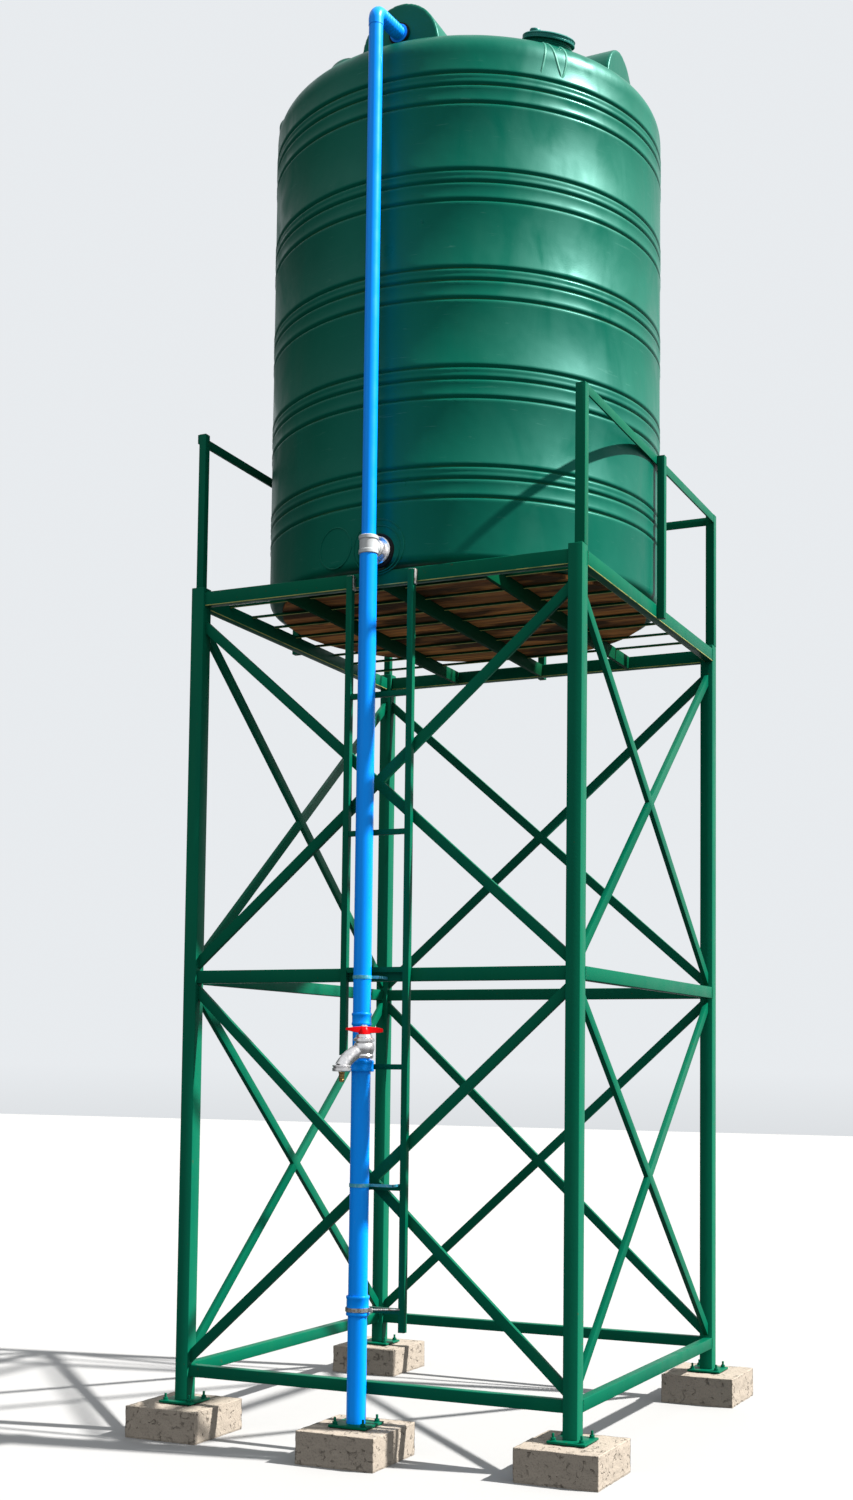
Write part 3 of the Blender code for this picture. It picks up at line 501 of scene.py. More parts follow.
def bent_rod(name, places, thick, swells=None):
    """A round bar bent through places: a curve with a round section, made into a mesh."""
    bpy.ops.object.select_all(action="DESELECT")
    bpy.ops.curve.primitive_nurbs_path_add(location=(0.0, 0.0, 0.0))
    piece = bpy.context.object
    piece.data.splines.clear()
    line = piece.data.splines.new("POLY")
    line.points.add(len(places) - 1)
    for index, (point, place) in enumerate(zip(line.points, places)):
        point.co = (*place, 1.0)
        point.radius = swells[index] if swells else 1.0
    piece.data.bevel_depth = thick
    piece.data.bevel_resolution = 6
    piece.data.use_fill_caps = True
    bpy.ops.object.convert(target="MESH")
    piece = settle(bpy.context.object, name)
    pick(piece, "VERT", lambda corner: True)
    bpy.ops.mesh.remove_doubles(threshold=0.00005)
    bpy.ops.mesh.normals_make_consistent(inside=False)
    done()
    return piece


def copy_of(piece, name, shift=(0.0, 0.0, 0.0)):
    """A copy with its own mesh."""
    only(piece)
    bpy.ops.object.duplicate(linked=False)
    twin = bpy.context.object
    twin.location = twin.location + Vector(shift)
    return settle(twin, name)


def join(name, pieces):
    bpy.ops.object.select_all(action="DESELECT")
    for piece in pieces:
        piece.select_set(True)
    bpy.context.view_layer.objects.active = pieces[0]
    if len(pieces) > 1:
        bpy.ops.object.join()
    pieces[0].name = name
    pieces[0].data.name = name
    return pieces[0]


def apply_all(piece):
    only(piece)
    for step in list(piece.modifiers):
        bpy.ops.object.modifier_apply(modifier=step.name)
    return piece


def soften(piece, width, rounds=2, angle=30.0):
    """Rounds every edge sharper than an angle."""
    bevel = piece.modifiers.new("soften", "BEVEL")
    bevel.width = width
    bevel.segments = rounds
    bevel.limit_method = "ANGLE"
    bevel.angle_limit = math.radians(angle)
    return apply_all(piece)


# %% Helpers: placing and handing over
def mould_on(base, extra):
    """Makes another form one with the base, and removes it."""
    union = base.modifiers.new("union", "BOOLEAN")
    union.operation = "UNION"
    union.solver = "EXACT"
    union.object = extra
    apply_all(base)
    bpy.data.objects.remove(extra)


def lay_back(piece, y, height):
    """Turns a piece made upright at the origin so that it points at the tank, and moves it into place."""
    piece.rotation_euler = (-math.pi / 2, 0.0, 0.0)
    piece.location = (0.0, y, height)
    return settle(piece)


def hand_over(piece, finish, nodes=(), body="tower", angle=35.0):
    """Gives a finished piece its shading, its finish, its body and the nodes it stands for."""
    settle(piece)
    bpy.ops.object.shade_smooth_by_angle(angle=math.radians(angle))
    if finish is not None:
        piece.data.materials.clear()
        piece.data.materials.append(finish)
    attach(piece, body)
    if nodes:
        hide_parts(*nodes)
    assert len(piece.data.polygons) > 0, piece.name + " has no faces"
    print(piece.name, "has", len(piece.data.polygons), "faces")
    return piece


# %% [markdown]
# ## Square tubes
# Legs, girts, rails, braces and the ladder are rolled steel tube and bar, so their edges are round, and
# that round edge is what catches the light. The imported bars are sharp boxes. Each one is copied, its loose
# triangles are merged, and a small bevel rounds its edges. The copy then stands for the imported bar. Lower
# edges under the deck get a pale olive second finish, painted light bounced up from the ground.

# %% Round the tubes
def rounded_tube(node, width):
    only(frame["nodes"][node])
    bpy.ops.object.duplicate(linked=False)
    bar = bpy.context.object
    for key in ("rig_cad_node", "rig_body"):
        if key in bar:
            del bar[key]
    bar.parent = None
    bar.name = node + "_tube"
    bpy.ops.object.mode_set(mode="EDIT")
    bpy.ops.mesh.select_all(action="SELECT")
    bpy.ops.mesh.remove_doubles(threshold=0.00005)
    bpy.ops.mesh.dissolve_limited(angle_limit=math.radians(1.0))
    done()
    soften(bar, width, rounds=2)
    return hand_over(bar, stand_paint, [node])


def lay_painted_light_on_lower_edges(bar, low_z, paint, bar_low=None):
    """Gives the bar a paint, and its narrow lower edges, or thin cross bars' undersides, the pale painted
    light from the ground.
    """
    bar.data.materials.clear()
    bar.data.materials.append(paint)
    bar.data.materials.append(edge_painted_light)
    for face in bar.data.polygons:
        low_edge = face.center.z < low_z + 0.0065 and -0.95 < face.normal.z < -0.15
        under_bar = bar_low is not None and bar_low - 0.001 < face.center.z < bar_low + 0.007
        if low_edge or (under_bar and face.normal.z < -0.15):
            face.material_index = 1


tube_nodes = [name for name in sorted(frame["nodes"]) if name.startswith(("leg_", "girt_", "guard_"))]
for name in tube_nodes:
    rounded_tube(name, 0.0035)
flat_nodes = [name for name in sorted(frame["nodes"]) if name.startswith("brace_")]
for name in flat_nodes + ["ladder", "riser_foot_plate"]:
    rounded_tube(name, 0.0022)
deck_tubes = rounded_tube("deck_grid", 0.0060)
grid_low, grid_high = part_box("deck_grid")
CROSS_BAR_DROP = 0.013
CROSS_BAR_LOW = grid_high.z - CROSS_BAR_DROP
# The grid gets the darker paint, which is painted shade, and the lower edges of the grid and the top girts
# get the painted light from the ground.
lay_painted_light_on_lower_edges(deck_tubes, grid_low.z, under_deck_shaded_paint, CROSS_BAR_LOW)
for side in ("front", "left", "back", "right"):
    top_girt = bpy.data.objects["girt_" + side + "_top_tube"]
    lay_painted_light_on_lower_edges(top_girt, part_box("girt_" + side + "_top")[0].z, stand_paint)

# %% [markdown]
# ## Weld beads
# The girts are welded to the legs, and a bead of weld stands in the corner at each end of every girt. A
# welder lays a bead in short overlapping pools, so it swells and narrows along its length. Each bead is a
# bent rod with that rhythm, half sunk in the corner, and painted over with the rest of the stand.

# %% Weld beads
BEAD_THICK = 0.0040
BEAD_POOLS = 9
BEAD_SWELLS = [1.0 if step % 2 == 0 else 0.62 for step in range(2 * BEAD_POOLS + 1)]
beads = []
for side in ("front", "back", "left", "right"):
    for level in ("bottom", "middle", "top"):
        low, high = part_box("girt_" + side + "_" + level)
        if side in ("front", "back"):
            face_y = low.y if side == "front" else high.y
            corners = [(low.x, face_y), (high.x, face_y)]
        else:
            face_x = low.x if side == "left" else high.x
            corners = [(face_x, low.y), (face_x, high.y)]
        for x, y in corners:
            foot = low.z + 0.003
            rise = (high.z - low.z - 0.006) / (2 * BEAD_POOLS)
            places = [(x, y, foot + rise * step) for step in range(2 * BEAD_POOLS + 1)]
            beads.append(bent_rod("bead", places, BEAD_THICK, BEAD_SWELLS))
hand_over(join("weld_beads", beads), stand_paint)

# %% [markdown]
# ## Base plates: bolts and nuts
# Each leg stands on a plate that four studs hold to its concrete pad, and so does the riser. A stud is a
# rod with a round washer and a six-sided nut. One is modelled with a bevelled nut and a rounded stud end,
# and the rest are copies, set in from the corners of each plate. They are painted with the plates.

# %% One stud, copied to every plate
washer_line = [(0.0, 0.0), (0.0155, 0.0), (0.0155, 0.0022), (0.014, 0.003), (0.0, 0.003)]
washer = lathe("washer", washer_line, (0.0, 0.0), 24)
nut = rod("nut", 0.0125, (0.0, 0.0, 0.003), (0.0, 0.0, 0.014), sides=6)
soften(nut, 0.0014, rounds=2, angle=40.0)
stud = rod("stud", 0.0062, (0.0, 0.0, 0.010), (0.0, 0.0, 0.034), sides=16)
soften(stud, 0.0018, rounds=2)
first_bolt = join("first_bolt", [nut, washer, stud])
bolts = []
plates = [("leg_front_left", 0.070), ("leg_front_right", 0.070), ("leg_back_left", 0.070),
          ("leg_back_right", 0.070), ("riser_foot_plate", 0.075)]
for node, inset in plates:
    low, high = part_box(node)
    middle = (low + high) / 2
    for across in (-inset, inset):
        for along in (-inset, inset):
            place = (middle.x + across, middle.y + along, PLATE_TOP)
            bolts.append(copy_of(first_bolt, "plate_bolt", place))
bpy.data.objects.remove(first_bolt)
plate_bolts = join("plate_bolts", bolts)
hand_over(plate_bolts, stand_paint)

# %% [markdown]
# ## Concrete pads
# The five pads are cast in rough boxes, so their faces are flat but their edges are chipped and no
# edge is quite straight. A cube's edges are rounded, its faces are cut finely, and a displacement pushes
# the surface in by a few millimetres. It is set to push inwards, so a pad stays inside its packed block.

# %% Pads
chips = bpy.data.textures.new("chips", "CLOUDS")
chips.noise_scale = 0.05
chips.noise_depth = 4
for node in ("block_front_left", "block_front_right", "block_back_left", "block_back_right", "block_riser"):
    low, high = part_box(node)
    pad = slab(node + "_pad", low, high)
    soften(pad, 0.007, rounds=2)
    pick(pad, "FACE", lambda face: True)
    bpy.ops.mesh.subdivide(number_cuts=20)
    done()
    wear = pad.modifiers.new("wear", "DISPLACE")
    wear.texture = chips
    wear.texture_coords = "LOCAL"
    wear.strength = 0.010
    wear.mid_level = 0.95
    apply_all(pad)
    pick(pad, "VERT", lambda corner: corner.co.z < low.z + 0.006)
    bpy.ops.transform.resize(value=(1.0, 1.0, 0.0), center_override=(0.0, 0.0, low.z))
    done()
    hand_over(pad, pad_concrete, [node])

# %% [markdown]
# ## Deck boards
# The tank stands on a round floor of boards laid along X with narrow gaps, and the ends are sawn to a
# circle just inside the tank's. Each board starts as a slab as long as the circle is wide. One round saw
# then cuts all the ends with a boolean, so from below the outline is round, and the edges are eased.

# %% Boards
deck_low, deck_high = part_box("deck_boards")
DECK_RADIUS = (deck_high.x - deck_low.x) / 2
BOARD_WIDTH = 0.138
boards = []
count = int(2 * DECK_RADIUS / BOARD_WIDTH)
first_edge = TANK_Y - count * BOARD_WIDTH / 2
for index in range(count):
    y0 = first_edge + index * BOARD_WIDTH
    y1 = y0 + BOARD_WIDTH - 0.003 - 0.002 * (index % 3)
    drop = 0.0015 * ((index * 7) % 4)
    board = slab("board", (-DECK_RADIUS, y0, deck_low.z), (DECK_RADIUS, y1, deck_high.z - drop))
    boards.append(board)
deck = join("deck_planks", boards)
saw = rod("saw", DECK_RADIUS, (0.0, TANK_Y, deck_low.z - 0.1), (0.0, TANK_Y, deck_high.z + 0.1), sides=96)
cut = deck.modifiers.new("saw", "BOOLEAN")
cut.operation = "INTERSECT"
cut.solver = "EXACT"
cut.object = saw
apply_all(deck)
bpy.data.objects.remove(saw)
soften(deck, 0.002, rounds=1)
hand_over(deck, board_wood, ["deck_boards"])

# %% [markdown]
# ## The tank's wall
# The wall and the rounded foot are one moulding. Its grooves come in five groups of three, and each
# groove is a shallow V with soft lips. Half of the outline is drawn from the foot to the shoulder and
# spun about the tank's axis. The faces in the grooves get a second, duller finish, for the dirt there.

# %% Wall outline
GROOVE_GROUPS = 5
GROOVE_RISE = (0.0, 0.096, 0.158)
FIRST_GROOVE = TANK_FOOT + 0.326
GROUP_PITCH = 0.508
GROOVES = []
for group in range(GROOVE_GROUPS):
    GROOVES += [FIRST_GROOVE + GROUP_PITCH * group + rise for rise in GROOVE_RISE]
GROOVE_DEPTH = 0.009
GROOVE_HALF = 0.009
GROOVE_LIP = 0.0025


def wall_outline():
    foot = TANK_FOOT
    round_foot = 0.045
    outline = [(0.0, foot)]
    for step in range(7):
        angle = math.radians(-90 + 15 * step)
        outline.append((TANK_RADIUS - round_foot + round_foot * math.cos(angle),
                        foot + round_foot + round_foot * math.sin(angle)))
    for height in GROOVES:
        outline += [
            (TANK_RADIUS, height - GROOVE_HALF - 0.016),
            (TANK_RADIUS + GROOVE_LIP, height - GROOVE_HALF - 0.007),
            (TANK_RADIUS, height - GROOVE_HALF),
            (TANK_RADIUS - GROOVE_DEPTH + 0.002, height - 0.003),
            (TANK_RADIUS - GROOVE_DEPTH, height),
            (TANK_RADIUS - GROOVE_DEPTH + 0.002, height + 0.003),
            (TANK_RADIUS, height + GROOVE_HALF),
            (TANK_RADIUS + GROOVE_LIP, height + GROOVE_HALF + 0.007),
            (TANK_RADIUS, height + GROOVE_HALF + 0.016),
        ]
    outline += [(TANK_RADIUS, WALL_TOP), (TANK_RADIUS - 0.03, WALL_TOP), (0.0, WALL_TOP)]
    return outline


tank_wall = lathe("tank_wall_skin", wall_outline(), (TANK_X, TANK_Y), 160)
wall_nodes = ["tank_base"] + [name for name in sorted(frame["nodes"]) if name.startswith("tank_wall_")]
hand_over(tank_wall, tank_plastic, wall_nodes, angle=40.0)
tank_wall.data.materials.append(groove_shade)
for face in tank_wall.data.polygons:
    reach = math.hypot(face.center.x - TANK_X, face.center.y - TANK_Y)
    sunk = reach < TANK_RADIUS - 0.004 and TANK_FOOT + 0.1 < face.center.z < WALL_TOP - 0.01
    if abs(face.normal.z) > 0.1 and sunk:
        face.material_index = 1

# %% [markdown]
# ## The tank's roof
# The roof is a shallow dome with a wide round shoulder, and two half-round ridges cross it. They end
# in flat faces near the shoulder. Two low rounded lugs stand on the shoulder, and a cone swells
# under the filler neck. All of them are joined by a boolean, then remeshed finely and smoothed,
# because a moulding has a soft hollow wherever two forms meet. The cut at the wall's top is made last,
# so that roof and wall meet on one line.

# %% Roof
SHOULDER_TOP = 7.145
SHOULDER = 0.13
ROOF_RISE = 0.05
RIDGE_REACH = 0.905
RIDGE_HALF = 0.223
RIDGE_RISE = 0.26
NECK_BEARING = math.radians(-39.4)
NECK_REACH = 0.883
NECK_LEAN = math.radians(19.0)
neck_out = Vector((math.cos(NECK_BEARING), math.sin(NECK_BEARING), 0.0))
neck_axis = neck_out * math.sin(NECK_LEAN) + Vector((0.0, 0.0, math.cos(NECK_LEAN)))
neck_base = Vector((TANK_X, TANK_Y, SHOULDER_TOP - 0.010)) + neck_out * NECK_REACH


def lean_over(piece):
    """Moves a piece made upright at the origin to the neck's foot, leaning with the neck."""
    piece.rotation_euler = Vector((0.0, 0.0, 1.0)).rotation_difference(neck_axis).to_euler()
    piece.location = neck_base
    return settle(piece)


def roof_outline():
    outline = [(0.0, WALL_TOP - 0.06), (TANK_RADIUS, WALL_TOP - 0.06), (TANK_RADIUS, SHOULDER_TOP - SHOULDER)]
    for step in range(1, 9):
        angle = math.radians(90 / 8 * step)
        outline.append((TANK_RADIUS - SHOULDER + SHOULDER * math.cos(angle),
                        SHOULDER_TOP - SHOULDER + SHOULDER * math.sin(angle)))
    outline += [(0.5, SHOULDER_TOP + 0.030), (0.0, SHOULDER_TOP + ROOF_RISE)]
    return outline


roof = lathe("tank_roof_skin", roof_outline(), (TANK_X, TANK_Y), 128)
for turn in (0.0, math.pi / 2):
    ridge = rod("ridge", 1.0, (0.0, -RIDGE_REACH, 0.0), (0.0, RIDGE_REACH, 0.0), sides=48)
    ridge.scale = (RIDGE_HALF, 1.0, RIDGE_RISE)
    ridge.rotation_euler = (0.0, 0.0, turn)
    ridge.location = (TANK_X, TANK_Y, SHOULDER_TOP)
    settle(ridge)
    pick(ridge, "FACE", lambda face: True)
    bpy.ops.mesh.bisect(
        plane_co=(0.0, 0.0, WALL_TOP - 0.03), plane_no=(0.0, 0.0, 1.0), use_fill=True, clear_inner=True
    )
    done()
    mould_on(roof, ridge)


# %% Shoulder lugs and neck foot
def lug_at(bearing, reach, height, size):
    """A rounded lump moulded with the shoulder."""
    angle = math.radians(bearing)
    bpy.ops.object.select_all(action="DESELECT")
    bpy.ops.mesh.primitive_uv_sphere_add(segments=32, ring_count=16, radius=1.0)
    lump = bpy.context.object
    lump.scale = size
    lump.rotation_euler = (0.0, 0.0, angle)
    lump.location = (TANK_X + reach * math.cos(angle), TANK_Y + reach * math.sin(angle), height)
    return settle(lump, "lug")


for lump in (
    lug_at(-110.0, 0.950, 7.130, (0.060, 0.100, 0.045)),
    lug_at(-143.0, 1.020, 7.055, (0.058, 0.075, 0.050)),
):
    mould_on(roof, lump)
foot_outline = [(0.0, -0.07), (0.168, -0.07), (0.150, -0.01), (0.128, 0.032), (0.0, 0.032)]
mould_on(roof, lean_over(lathe("neck_foot", foot_outline, (0.0, 0.0), 48)))
remesh = roof.modifiers.new("remesh", "REMESH")
remesh.mode = "VOXEL"
remesh.voxel_size = 0.0095
smooth = roof.modifiers.new("smooth", "SMOOTH")
smooth.factor = 0.5
smooth.iterations = 6
apply_all(roof)
pick(roof, "FACE", lambda face: True)
bpy.ops.mesh.bisect(
    plane_co=(0.0, 0.0, WALL_TOP), plane_no=(0.0, 0.0, 1.0), use_fill=True, clear_inner=True
)
done()
hand_over(roof, tank_plastic, ["tank_roof"], angle=80.0)

# %% [markdown]
# ## Filler neck and lid
# On the front right of the roof a short neck carries a screw lid. Both lean outwards by the same angle.
# They are turned upright about the origin, with heights counted from the neck's foot, and one helper then
# leans them over. The neck has two ribs of thread, and three raised welts run down the shoulder from its
# foot. Each welt is a bent rod, partly sunk in the skin. The lid has a stepped rim with grip ribs, a flat
# top with a raised ring, a lug and a breather cap near its edge. It rides on its own body.

# %% Filler neck
NECK_TOP = 0.069
THREAD_TURNS = 2
neck_outline = [(0.100, -0.05), (0.126, -0.05), (0.126, 0.041)]
neck_outline += [(0.1285, 0.0435), (0.1285, 0.0480), (0.1240, 0.0500)]
for turn in range(THREAD_TURNS):
    height = 0.050 + 0.008 * turn
    neck_outline += [(0.1225, height), (0.1255, height + 0.002)]
    neck_outline += [(0.1255, height + 0.004), (0.1225, height + 0.006)]
neck_outline += [(0.1225, NECK_TOP - 0.003), (0.1200, NECK_TOP), (0.104, NECK_TOP), (0.100, NECK_TOP - 0.004)]
neck_outline += [(0.100, -0.05)]
neck = lean_over(lathe("filler_neck", neck_outline, (0.0, 0.0), 64))
hand_over(neck, tank_plastic)

# %% Mould welts below the neck
WELT_SINK = 0.005
WELT_THICK = 0.0085


def shoulder_place(bearing, drop):
    """A point just under the skin. The drop is 0 on top and 90 at the shoulder's foot, then runs on."""
    angle = math.radians(bearing)
    bend = math.radians(min(drop, 90.0))
    reach = TANK_RADIUS - SHOULDER + (SHOULDER - WELT_SINK) * math.sin(bend)
    height = SHOULDER_TOP - SHOULDER + (SHOULDER - WELT_SINK) * math.cos(bend) - 0.002 * max(drop - 90.0, 0.0)
    return Vector((TANK_X + reach * math.cos(angle), TANK_Y + reach * math.sin(angle), height))


WELT_STEPS = 12
welts = []
for top_bearing, foot_bearing, bulge, start in (
    (-44.3, -46.4, 0.0, 14.0), (-43.6, -40.1, 0.0, 16.0), (-39.4, -40.0, 1.0, 22.0),
):
    places = []
    for index in range(WELT_STEPS + 1):
        share = index / WELT_STEPS
        bearing = top_bearing + (foot_bearing - top_bearing) * share ** 1.4
        bearing += bulge * math.sin(share * math.pi)
        places.append(shoulder_place(bearing, start + (138.0 - start) * share))
    tips = [0.5] + [1.0] * (WELT_STEPS - 1) + [0.5]
    welts.append(bent_rod("welt", places, WELT_THICK, tips))
# The welts get the paler plastic, a painted highlight.
hand_over(join("mould_welts", welts), welt_plastic_painted_highlight)

# %% Lid
LID_FOOT = NECK_TOP + 0.0008
LID_HEAD = NECK_TOP + 0.028
lid_outline = [(0.0, LID_FOOT), (0.1315, LID_FOOT), (0.1320, LID_FOOT - 0.0055), (0.1370, LID_FOOT - 0.0060)]
lid_outline += [(0.1395, LID_FOOT - 0.0040), (0.1395, LID_FOOT + 0.0020), (0.1360, LID_FOOT + 0.0050)]
lid_outline += [(0.1360, LID_HEAD - 0.0130), (0.1390, LID_HEAD - 0.0105), (0.1390, LID_HEAD - 0.0080)]
lid_outline += [(0.1350, LID_HEAD - 0.0035), (0.1280, LID_HEAD - 0.0010), (0.1180, LID_HEAD - 0.0010)]
lid_outline += [(0.1140, LID_HEAD - 0.0050), (0.0850, LID_HEAD - 0.0060), (0.0800, LID_HEAD - 0.0010)]
lid_outline += [(0.0700, LID_HEAD - 0.0010), (0.0660, LID_HEAD - 0.0050), (0.0, LID_HEAD - 0.0030)]
lid_parts = [lathe("lid_cap", lid_outline, (0.0, 0.0), 96)]
GRIP_RIBS = 36
for index in range(GRIP_RIBS):
    rib = slab("rib", (0.134, -0.0028, LID_FOOT + 0.0030), (0.1378, 0.0028, LID_HEAD - 0.0110))
    soften(rib, 0.0012, rounds=1)
    rib.rotation_euler = (0.0, 0.0, math.tau * index / GRIP_RIBS)
    lid_parts.append(settle(rib))
breather_line = [(0.0, LID_HEAD - 0.010), (0.026, LID_HEAD - 0.010), (0.026, LID_HEAD + 0.001)]
breather_line += [(0.0295, LID_HEAD + 0.004), (0.0295, LID_HEAD + 0.010), (0.026, LID_HEAD + 0.0155)]
breather_line += [(0.018, LID_HEAD + 0.0185), (0.008, LID_HEAD + 0.0196), (0.0, LID_HEAD + 0.0198)]
lid_parts.append(lathe("breather", breather_line, (-0.044, -0.086), 32))
lug = slab("lug", (0.050, -0.018, LID_HEAD - 0.006), (0.108, 0.018, LID_HEAD + 0.010))
lid_parts.append(soften(lug, 0.005))
lid = lean_over(join("lid_cap", lid_parts))
hand_over(lid, lid_plastic, ["tank_lid"], body="tank_lid")

# %% [markdown]
# ## The riser pipe
# Three lengths of blue pipe climb the front, each a little thinner than the one below. The lower two have
# moulded sockets with rounded lips, and the top one stands on the grey tee. Each length is an outline spun
# about the riser's axis. At the top the pipe turns towards the roof through an elbow, which is a round bar
# bent through a quarter circle. A short ribbed arm follows, with a ring at its end that presses on a
# rubber grommet.

# %% Straight lengths
def pipe_length(name, node, outline):
    piece = lathe(name, outline, (0.0, RISER_Y), 48)
    return hand_over(piece, pipe_blue, [node])


def lips(radius, wide, low, high):
    """A socket's outline from low to high, with a rounded lip at each end."""
    return [
        (radius, low), (wide - 0.002, low + 0.001), (wide, low + 0.004), (wide, low + 0.012),
        (wide - 0.0025, low + 0.016), (wide - 0.0025, high - 0.016), (wide, high - 0.012),
        (wide, high - 0.004), (wide - 0.002, high - 0.001), (radius, high),
    ]


low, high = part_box("riser_lower")
lower_line = [(0.0, low.z), (0.047, low.z)] + lips(0.047, 0.0565, 0.680, 0.776)
lower_line += lips(0.047, 0.0630, 1.850, 1.905)[:-1] + [(0.050, high.z), (0.0, high.z)]
pipe_length("riser_pipe_lower", "riser_lower", lower_line)
low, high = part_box("riser_middle")
middle_line = [(0.0, low.z), (0.044, low.z)] + lips(0.044, 0.0495, 2.073, 2.136)
middle_line += [(0.044, high.z), (0.0, high.z)]
pipe_length("riser_pipe_middle", "riser_middle", middle_line)
low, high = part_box("riser_top")
top_line = [(0.0, low.z), (0.036, low.z), (0.036, high.z - 0.001), (0.035, high.z), (0.0, high.z)]
pipe_length("riser_pipe_top", "riser_top", top_line)

# %% Elbow and ribbed arm
bend_low, bend_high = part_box("riser_bend")
BEND = 0.050
ARM_HEIGHT = bend_low.z + 0.030 + BEND
ARM_END_HEIGHT = ARM_HEIGHT + 0.025
BEND_STEPS = 14
bend_line = [(0.0, RISER_Y, bend_low.z), (0.0, RISER_Y, bend_low.z + 0.015)]
for index in range(BEND_STEPS + 1):
    turn = math.pi / 2 * index / BEND_STEPS
    across = BEND * (1 - math.cos(turn))
    bend_line.append((0.0, RISER_Y + across, ARM_HEIGHT - BEND + BEND * math.sin(turn)))
elbow = bent_rod("riser_elbow", bend_line, 0.0380)
arm_start = Vector((0.0, RISER_Y + BEND - 0.006, ARM_HEIGHT - 0.001))
arm_end = Vector((0.0, bend_high.y - 0.001, ARM_END_HEIGHT))
ARM_LENGTH = (arm_end - arm_start).length
ARM_RIBS = 7
RIB_PITCH = (ARM_LENGTH - 0.036) / ARM_RIBS
arm_line = [(0.0, 0.0), (0.037, 0.0)]
for index in range(ARM_RIBS):
    base = 0.004 + RIB_PITCH * index
    arm_line += [(0.0335, base), (0.0388, base + RIB_PITCH * 0.30)]
    arm_line += [(0.0388, base + RIB_PITCH * 0.62), (0.0335, base + RIB_PITCH * 0.95)]
arm_line += [(0.0375, ARM_LENGTH - 0.028), (0.0375, ARM_LENGTH), (0.0, ARM_LENGTH)]
arm = lathe("ribbed_arm", arm_line, (0.0, 0.0), 40)
arm.rotation_euler = (arm_end - arm_start).to_track_quat("Z", "X").to_euler()
arm.location = arm_start
settle(arm)
ring_line = [(0.0, 0.0), (0.0440, 0.0), (0.0490, 0.003), (0.0495, 0.012), (0.0470, 0.0155), (0.0, 0.0155)]
arm_ring = lathe("arm_ring", ring_line, (0.0, 0.0), 40)
lay_back(arm_ring, arm_end.y - 0.0155, ARM_END_HEIGHT)
elbow = join("riser_elbow", [elbow, arm, arm_ring])
hand_over(elbow, pipe_blue, ["riser_bend"])
seal_line = [(0.045, 0.0), (0.056, 0.001), (0.059, 0.005), (0.058, 0.010), (0.050, 0.013), (0.045, 0.013)]
seal_line += [(0.045, 0.0)]
grommet = lathe("grommet", seal_line, (0.0, 0.0), 40)
lay_back(grommet, arm_end.y - 0.011, ARM_END_HEIGHT)
hand_over(grommet, seal_rubber)

# %% [markdown]
# ## The outlet
# Above the deck a grey tee on the riser meets the tank. It has a collar at each end. Between the tee
# and the wall there is a bright union nut with six flats and a round flange, which presses on a rubber
# washer. Thin moulded rings stand on the wall around it, and one more ring lies to its left.

# %% Tee, union and flange
tee_low, tee_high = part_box("outlet_tee")
TEE_Z = (tee_low.z + tee_high.z) / 2
tee_line = [(0.0, tee_low.z), (0.046, tee_low.z), (0.0495, tee_low.z + 0.003), (0.0495, tee_low.z + 0.018)]
tee_line += [(0.0455, tee_low.z + 0.022), (0.0455, tee_high.z - 0.022), (0.0495, tee_high.z - 0.018)]
tee_line += [(0.0495, tee_high.z - 0.003), (0.046, tee_high.z), (0.0, tee_high.z)]
tee = lathe("tee_body", tee_line, (0.0, RISER_Y), 48)
branch_line = [(0.0, 0.0), (0.036, 0.0), (0.036, 0.040), (0.0378, 0.043), (0.0378, 0.0575), (0.0, 0.0575)]
branch = lathe("branch", branch_line, (0.0, 0.0), 40)
lay_back(branch, RISER_Y, TEE_Z)
tee = join("tee_body", [tee, branch])
hand_over(tee, tee_grey, ["outlet_tee"])

fit_low, fit_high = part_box("outlet_fitting")
union = rod("union", 0.0495, (0.0, fit_low.y, TEE_Z), (0.0, fit_high.y - 0.010, TEE_Z), sides=6)
soften(union, 0.006, rounds=2, angle=40.0)
collar_line = [(0.0, 0.0), (0.047, 0.0), (0.0495, 0.003), (0.0495, 0.010), (0.047, 0.013), (0.0, 0.013)]
collar = lay_back(lathe("collar", collar_line, (0.0, 0.0), 40), fit_low.y - 0.0001, TEE_Z)
flange_line = [(0.0, 0.0), (0.066, 0.0), (0.0715, 0.004), (0.0715, 0.0138), (0.0, 0.0138)]
flange = lay_back(lathe("flange", flange_line, (0.0, 0.0), 48), fit_high.y - 0.0140, TEE_Z)
union = join("union_and_flange", [union, collar, flange])
hand_over(union, tap_metal, ["outlet_fitting"])

# %% Washer and moulded rings on the wall
def wall_ring(name, radius, thick, bearing, height, finish, proud):
    """A ring that follows the round wall, by projecting it back on to the wall."""
    bpy.ops.object.select_all(action="DESELECT")
    bpy.ops.mesh.primitive_torus_add(
        major_radius=radius, minor_radius=thick, major_segments=72, minor_segments=10,
        location=(0.0, -TANK_RADIUS, 0.0), rotation=(math.pi / 2, 0.0, 0.0),
    )
    ring = settle(bpy.context.object, name)
    for corner in ring.data.vertices:
        wall_y = -math.sqrt(TANK_RADIUS ** 2 - corner.co.x ** 2)
        corner.co.y += wall_y + TANK_RADIUS - proud
    ring.rotation_euler = (0.0, 0.0, bearing)
    ring.location = (TANK_X, TANK_Y, height)
    return hand_over(settle(ring), finish)


